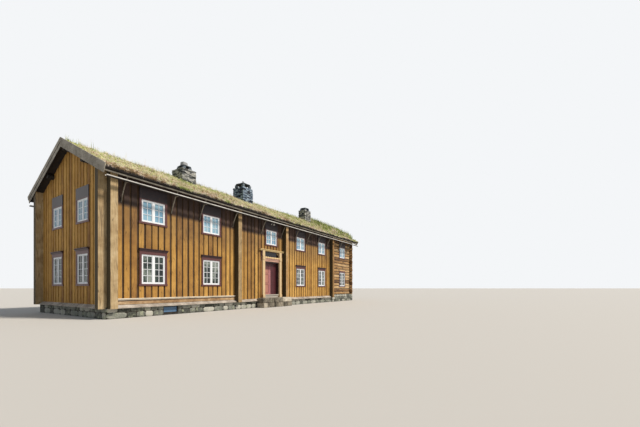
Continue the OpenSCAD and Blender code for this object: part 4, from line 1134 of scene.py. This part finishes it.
class FARMHOUSE_OT_stack_chimneys(bpy.types.Operator):
    """Faces the chimneys above the roof with courses of flat stones"""

    bl_idname = "farmhouse.stack_chimneys"
    bl_label = "Stack the chimneys"

    def execute(self, context):
        under_turf = 6.75
        thinnest = 0.03
        course_h = context.scene.farmhouse_sizes.course_h
        for number, node in enumerate(CHIMNEYS):
            rng = random.Random(40 + number)
            shape = Shape()
            low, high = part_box(node)
            z = under_turf
            while z < high.z:
                top = min(z + course_h * rng.uniform(0.6, 1.5), high.z)
                if high.z - top < thinnest:
                    top = high.z
                self.course(shape, rng, low, high, z, top)
                z = top
            finish = "laid blue slate" if node == "middle_chimney" else "laid slate"
            shape.piece(node + "_stones", finish, "slate")
        rng = random.Random(77)
        for node, finish, name in (("chimney_caps", "dark cap slate", "cap_slabs"),
                                   ("chimney_top_stones", "slate", "top_slabs")):
            shape = Shape()
            for low, high in islands(node):
                shape.slab(low, high, rng.uniform(0, 50), 0.03)
            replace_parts(shape.piece(name, finish, "slate"), node)
        return {"FINISHED"}

    def course(self, shape, rng, low, high, z0, z1):
        """One course: stones along the four sides, a little in or out."""
        deep, joint, gap, worn, shortest = 0.10, 0.003, 0.005, 0.006, 0.09
        # Ends of the side, its two faces, the axis that it runs along and which face looks outwards
        sides = (
            (low.x, high.x, low.y, low.y + deep, 0, -1), (low.x, high.x, high.y - deep, high.y, 0, 1),
            (low.y + deep, high.y - deep, low.x, low.x + deep, 1, -1),
            (low.y + deep, high.y - deep, high.x - deep, high.x, 1, 1),
        )
        for start, end, inner, outer, axis, outwards in sides:
            at = start
            while at < end:
                stop = at + rng.uniform(0.08, 0.30)
                if end - stop < shortest:
                    stop = end
                out = rng.uniform(0.006, 0.030)
                a = at + joint if at > start else at - out
                b = stop - joint if stop < end else stop + out
                c = inner - out if outwards < 0 else inner
                d = outer + out if outwards > 0 else outer
                jig = [rng.uniform(-0.005, 0.005) for _ in range(4)]
                base = [(a + jig[0], c), (b + jig[1], c + jig[2]), (b, d), (a, d + jig[3])]
                tone = rng.random()
                rings = []
                for z, shrink in ((z0 + gap, worn), (z0 + gap + worn, 0.0), (z1 - gap - worn, 0.0),
                                  (z1 - gap, worn)):
                    ring = []
                    for u, v in base:
                        u = u - math.copysign(shrink, u - (a + b) / 2)
                        v = v - math.copysign(shrink, v - (c + d) / 2)
                        ring.append((v, u, z) if axis else (u, v, z))
                    rings.append(ring)
                shape.loft(rings, tone)
                at = stop


class FARMHOUSE_OT_grow_turf(bpy.types.Operator):
    """Lays the uneven turf and grows grass, fringes and taller weeds on it"""

    bl_idname = "farmhouse.grow_turf"
    bl_label = "Grow the turf"

    def execute(self, context):
        size = context.scene.farmhouse_sizes
        cell = 0.09
        self.wave = size.turf_wave
        self.half = (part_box("turf_front")[1].x, HALF_ROOF)
        self.count = (int(2 * self.half[0] / cell), 2 * int(HALF_ROOF / cell))
        self.shafts = [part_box(node) for node in CHIMNEYS]
        self.make_mat()
        self.grow(size.grass_density, size.grass_h, context.scene.farmhouse_colours)
        return {"FINISHED"}

    def at(self, axis, number):
        """Place of a grid line, or between two of them."""
        return -self.half[axis] + 2 * self.half[axis] * number / self.count[axis]

    def top(self, x, y):
        """Height of the turf surface: rounded at the ridge, drooping at the eave, uneven all over."""
        height = RIDGE_Z + (DECK_T + TURF_T) / math.cos(ROOF_PITCH) - abs(y) * math.tan(ROOF_PITCH)
        rounding, droop, reach = 0.07, 0.06, 0.35
        height -= rounding * math.exp(-(y / reach) ** 2)
        height -= droop * (max(0.0, abs(y) - HALF_ROOF + reach) / reach) ** 2
        broad = noise.fractal(Vector((x * 0.9, y * 0.9, 3.1)), 0.9, 2.1, 3)
        fine = noise.fractal(Vector((x * 5.0, y * 5.0, 7.7)), 0.8, 2.2, 3)
        return height + self.wave * (broad + 0.55 * fine)

    def bottom(self, y):
        """Height of the turf's underside: on the roof boards, then level over the turf log."""
        over_log = 5.69
        return max(roof_under(y) + DECK_T / math.cos(ROOF_PITCH) + LET_IN, over_log)

    def is_open(self, i, j):
        """Whether a chimney passes through a cell."""
        x, y, lap = self.at(0, i + 0.5), self.at(1, j + 0.5), 0.02
        return any(a.x + lap < x < b.x - lap and a.y + lap < y < b.y - lap for a, b in self.shafts)

    def make_mat(self):
        """One closed mat over both slopes, open where the chimneys stand."""
        nx, ny = self.count
        places = [(self.at(0, i), self.at(1, j)) for i in range(nx + 1) for j in range(ny + 1)]
        points = [(x, y, self.top(x, y)) for x, y in places] + [(x, y, self.bottom(y)) for x, y in places]
        count = len(places)
        solid = {(i, j) for i in range(nx) for j in range(ny) if not self.is_open(i, j)}
        faces = []
        for i, j in sorted(solid):
            a = i * (ny + 1) + j
            b, c, d = a + ny + 1, a + ny + 2, a + 1
            faces += [(a, b, c, d), (a + count, d + count, c + count, b + count)]
            for ni, nj, p, q in ((i - 1, j, a, d), (i + 1, j, c, b), (i, j - 1, b, a), (i, j + 1, d, c)):
                if (ni, nj) not in solid:
                    faces.append((p, q, q + count, p + count))
        mesh = bpy.data.meshes.new("turf_mat")
        mesh.from_pydata(points, [], faces)
        face_outwards(mesh)
        mat = finish_piece("turf_mat", mesh, "turf mat", smooth=True)
        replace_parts(mat, "turf_front", "turf_back")

    def tuft(self, name, rng, blades, width, spread, levels=1, hanging=False):
        """A tuft of closed three-sided blades one metre long, to be scaled; tip runs from 0 at the root to 1.

        A hanging tuft leans over towards -y and falls.
        """
        shape = Shape()
        for _ in range(blades):
            angle = rng.uniform(0, math.tau)
            lean = rng.uniform(0.15, 1.0) * spread
            tall = rng.uniform(0.6, 1.0)
            root = Vector((rng.uniform(-0.25, 0.25), rng.uniform(-0.25, 0.25), -0.1))
            if hanging:
                angle = -math.pi / 2 + (angle - math.pi) * 0.15
                lean = rng.uniform(0.7, 0.95)
                root = Vector((rng.uniform(-0.9, 0.9), 0, 0))
            aim = Vector((math.cos(angle), math.sin(angle), 0))
            side = Vector((-aim.y, aim.x, 0)) * width / 2
            ridge = (aim + Vector((0, 0, 1 if hanging else 0))) * width * 0.3
            first = len(shape.points)
            for level in range(levels):
                part = level / levels
                at = root + aim * lean * part ** (0.6 if hanging else 1.8)
                at.z += 0.25 * part - tall * part ** 2 if hanging else tall * part
                thin = 1 - part * 0.5
                shape.points += [at - side * thin, at + side * thin, at + ridge * thin]
                shape.tones += [part] * 3
            shape.points.append(root + aim * lean + Vector((0, 0, 0.25 - tall if hanging else tall)))
            shape.tones.append(1.0)
            last, tip = first + 3 * levels - 3, first + 3 * levels
            shape.faces.append((first, first + 1, first + 2))
            for a in range(first, last, 3):
                shape.faces += [(a, a + 1, a + 4, a + 3), (a + 1, a + 2, a + 5, a + 4),
                                (a + 2, a, a + 3, a + 5)]
            shape.faces += [(last, last + 1, tip), (last + 1, last + 2, tip), (last + 2, last, tip)]
        obj = scratch_object(name, shape.points, faces=shape.faces)
        face_outwards(obj.data)
        obj.data.attributes.new("tip", "FLOAT", "POINT").data.foreach_set("value", shape.tones)
        return obj

    def grow(self, density, h, tone):
        """Scatters tufts over chosen cells of the turf, each kind as a piece of its own."""
        finish = "grass on the roof"
        # Living and dried blades: matt, brown at the root and bleached at the tip
        grass(finish, "#7d7a4a", tone.grass, tone.straw)
        rng = random.Random(5)
        short = self.tuft("short tuft", rng, 8, 0.11, 0.7)
        tall = self.tuft("tall tuft", rng, 7, 0.05, 0.45, levels=2)
        stem = self.tuft("dry stems", rng, 3, 0.03, 0.3, levels=2)
        hanging = self.tuft("hanging tuft", rng, 5, 0.07, 0.5, levels=2, hanging=True)
        nx, ny = self.count
        cells = [(self.at(0, i), self.at(0, i + 1), self.at(1, j), self.at(1, j + 1))
                 for i in range(nx) for j in range(ny) if not self.is_open(i, j)]
        ridge_line = 0.0001
        front = [c for c in cells if c[3] <= ridge_line]
        back = [c for c in cells if c[3] > ridge_line]

        def near_eave(where, reach):
            return [c for c in where if abs(c[2] + c[3]) / 2 > HALF_ROOF - reach]

        def in_patches(where, pitch, layer, least):
            """Cells where a layer of noise is over least."""
            return [c for c in where
                    if noise.noise(Vector((c[0] * pitch, c[2] * pitch, layer))) > least]

        def in_rank_patch(c):
            """Whether the taller growth near the right end covers a cell, in ragged patches."""
            wander = noise.noise(Vector((c[0] * 0.9, c[2] * 0.9, 2.0)))
            return c[0] > 7.2 + 0.9 * wander and -3.4 < c[2] < 0.3 + 1.2 * wander and wander > -0.35

        ridge = [c for c in front + back if abs(c[2] + c[3]) / 2 < 0.7]
        right = [c for c in in_patches(front, 1.7, 13.6, -0.1) if 3.2 < c[0] < 7.6]
        rank = [c for c in front + back if in_rank_patch(c)]
        clumps = in_patches(front + back, 3.3, 5.0, 0.26)
        # Name, cells, tuft, tufts on a square metre, least and greatest height, tilt, seed, turn and swing
        any_way = (0.0, math.pi)
        jobs = (
            ("grass_front", front, short, density, 0.55, 1.1, 0.0, 1, any_way),
            ("grass_back", back, short, density, 0.55, 1.1, 0.0, 2, any_way),
            ("eave_fringe", near_eave(front + back, 0.28), short, 240.0, 0.7, 1.6, 0.35, 3, any_way),
            ("ridge_weeds", ridge, tall, 24.0, 1.0, 2.3, 0.0, 4, any_way),
            ("ridge_stems", ridge, stem, 5.0, 2.2, 4.0, 0.0, 7, any_way),
            ("tall_weeds", right, tall, 30.0, 1.5, 3.0, 0.0, 6, any_way),
            ("rank_growth", rank, tall, 48.0, 3.8, 6.6, 0.0, 9, any_way),
            ("turf_clumps", clumps, tall, 34.0, 1.2, 2.1, 0.0, 12, any_way),
            ("hanging_straw_front", near_eave(front, 0.09), hanging, 280.0, 1.3, 2.4, 0.0, 10, (0.0, 0.3)),
            ("hanging_straw_back", near_eave(back, 0.09), hanging, 280.0, 1.3, 2.4, 0.0, 11, (math.pi, 0.3)),
        )
        tree = scatter_tree()
        for name, where, tuft, number, least, most, tilt, seed, (turn, swing) in jobs:
            ground = self.patch(name + " ground", where)
            mesh = run_nodes(name, ground, tree, Tuft=tuft, Density=number, Seed=seed,
                             Smallest=least * h, Largest=most * h, Tilt=tilt, Turn=turn, Swing=swing,
                             Material=bpy.data.materials[finish])
            for vertex in mesh.vertices:
                for axis in (0, 1):
                    lowest, highest = CAD_BOX[0][axis] + 0.004, CAD_BOX[1][axis] - 0.004
                    vertex.co[axis] = min(max(vertex.co[axis], lowest), highest)
            finish_piece(name, mesh, finish)
        for tuft in (short, tall, stem, hanging):
            drop(tuft)

    def patch(self, name, cells):
        """Faces just under the turf's surface, to grow tufts on."""
        points = [(x, y, self.top(x, y) - 0.01)
                  for x0, x1, y0, y1 in cells for x, y in ((x0, y0), (x1, y0), (x1, y1), (x0, y1))]
        faces = [(i, i + 1, i + 2, i + 3) for i in range(0, len(points), 4)]
        return scratch_object(name, points, faces=faces)


class FARMHOUSE_OT_set_stage(bpy.types.Operator):
    """Sets the pale floor, the soft light and the camera at the photograph's place"""

    bl_idname = "farmhouse.set_stage"
    bl_label = "Set the stage"

    def execute(self, context):
        self.floor()
        self.world(context.scene)
        self.sun(context.scene)
        self.camera(context.scene)
        return {"FINISHED"}

    def floor(self):
        reach = 2000.0
        floor = scratch_object("studio_floor", [(-reach, -reach, 0), (reach, -reach, 0), (reach, reach, 0),
                                                (-reach, reach, 0)], faces=[(0, 1, 2, 3)])
        # Paper: pale grey and matt
        paper, tree, _ = start_material("pale studio floor")
        end_material(tree, "#c6c4bf", 0.9)
        floor.data.materials.append(paper)

    def world(self, scene):
        """Soft sky light on the house; the camera, mirrors and glass see a white backdrop."""
        world = bpy.data.worlds.new("studio")
        scene.world = world
        world.use_nodes = True
        tree = world.node_tree
        tree.nodes.clear()
        path = add(tree, "ShaderNodeLightPath").outputs
        seen = path["Is Camera Ray"]
        for ray in ("Is Glossy Ray", "Is Transmission Ray"):
            seen = add(tree, "ShaderNodeMath", {0: seen, 1: path[ray]}, operation="MAXIMUM")
        soft = add(tree, "ShaderNodeBackground", {"Color": "#dce6f4", "Strength": 0.34})
        white = add(tree, "ShaderNodeBackground", {"Color": "#f4f6f8", "Strength": 1.0})
        both = add(tree, "ShaderNodeMixShader", {0: seen, 1: soft, 2: white})
        add(tree, "ShaderNodeOutputWorld", {"Surface": both})

    def sun(self, scene):
        """A broad soft sun from the front, a little to the right."""
        sun = bpy.data.lights.new("soft sun", "SUN")
        sun.energy = 3.9
        sun.angle = math.radians(9)
        sun.color = linear("#fff5e8")[:3]
        lamp = bpy.data.objects.new("soft sun", sun)
        towards = Vector((0.35, -1.0, 1.15))
        lamp.rotation_euler = towards.to_track_quat("Z", "Y").to_euler()
        scene.collection.objects.link(lamp)

    def camera(self, scene):
        lens = bpy.data.cameras.new("photograph")
        lens.lens = LENS_MM
        lens.sensor_width = 36.0
        lens.shift_y = SHIFT_UP
        lens.clip_end = 1000.0
        camera = bpy.data.objects.new("photograph", lens)
        camera.location = EYE
        camera.rotation_euler = Vector(LOOK).to_track_quat("-Z", "Y").to_euler()
        scene.collection.objects.link(camera)
        scene.camera = camera
        scene.view_settings.view_transform = "Standard"


OPERATORS = (
    FARMHOUSE_OT_paint_frame,
    FARMHOUSE_OT_board_walls,
    FARMHOUSE_OT_glaze_windows,
    FARMHOUSE_OT_dress_door,
    FARMHOUSE_OT_lay_foundation,
    FARMHOUSE_OT_stack_chimneys,
    FARMHOUSE_OT_grow_turf,
    FARMHOUSE_OT_set_stage,
)


class FARMHOUSE_PT_panel(bpy.types.Panel):
    """Lists the sizes, the colours and the steps"""

    bl_idname = "FARMHOUSE_PT_panel"
    bl_label = "Farmhouse"
    bl_space_type = "VIEW_3D"
    bl_region_type = "UI"
    bl_category = "Farmhouse"

    def draw(self, context):
        layout = self.layout
        for group in (context.scene.farmhouse_sizes, context.scene.farmhouse_colours):
            for name in group.__annotations__:
                layout.prop(group, name)
        for operator in OPERATORS:
            layout.operator(operator.bl_idname)


CLASSES = (FarmhouseSizes, FarmhouseColours, *OPERATORS, FARMHOUSE_PT_panel)


def register():
    for cls in CLASSES:
        bpy.utils.register_class(cls)
    bpy.types.Scene.farmhouse_sizes = bpy.props.PointerProperty(type=FarmhouseSizes)
    bpy.types.Scene.farmhouse_colours = bpy.props.PointerProperty(type=FarmhouseColours)


def unregister():
    del bpy.types.Scene.farmhouse_colours
    del bpy.types.Scene.farmhouse_sizes
    for cls in reversed(CLASSES):
        bpy.utils.unregister_class(cls)


def main():
    register()
    for operator in OPERATORS:
        group, name = operator.bl_idname.split(".")
        getattr(getattr(bpy.ops, group), name)()


if __name__ == "__main__":
    main()
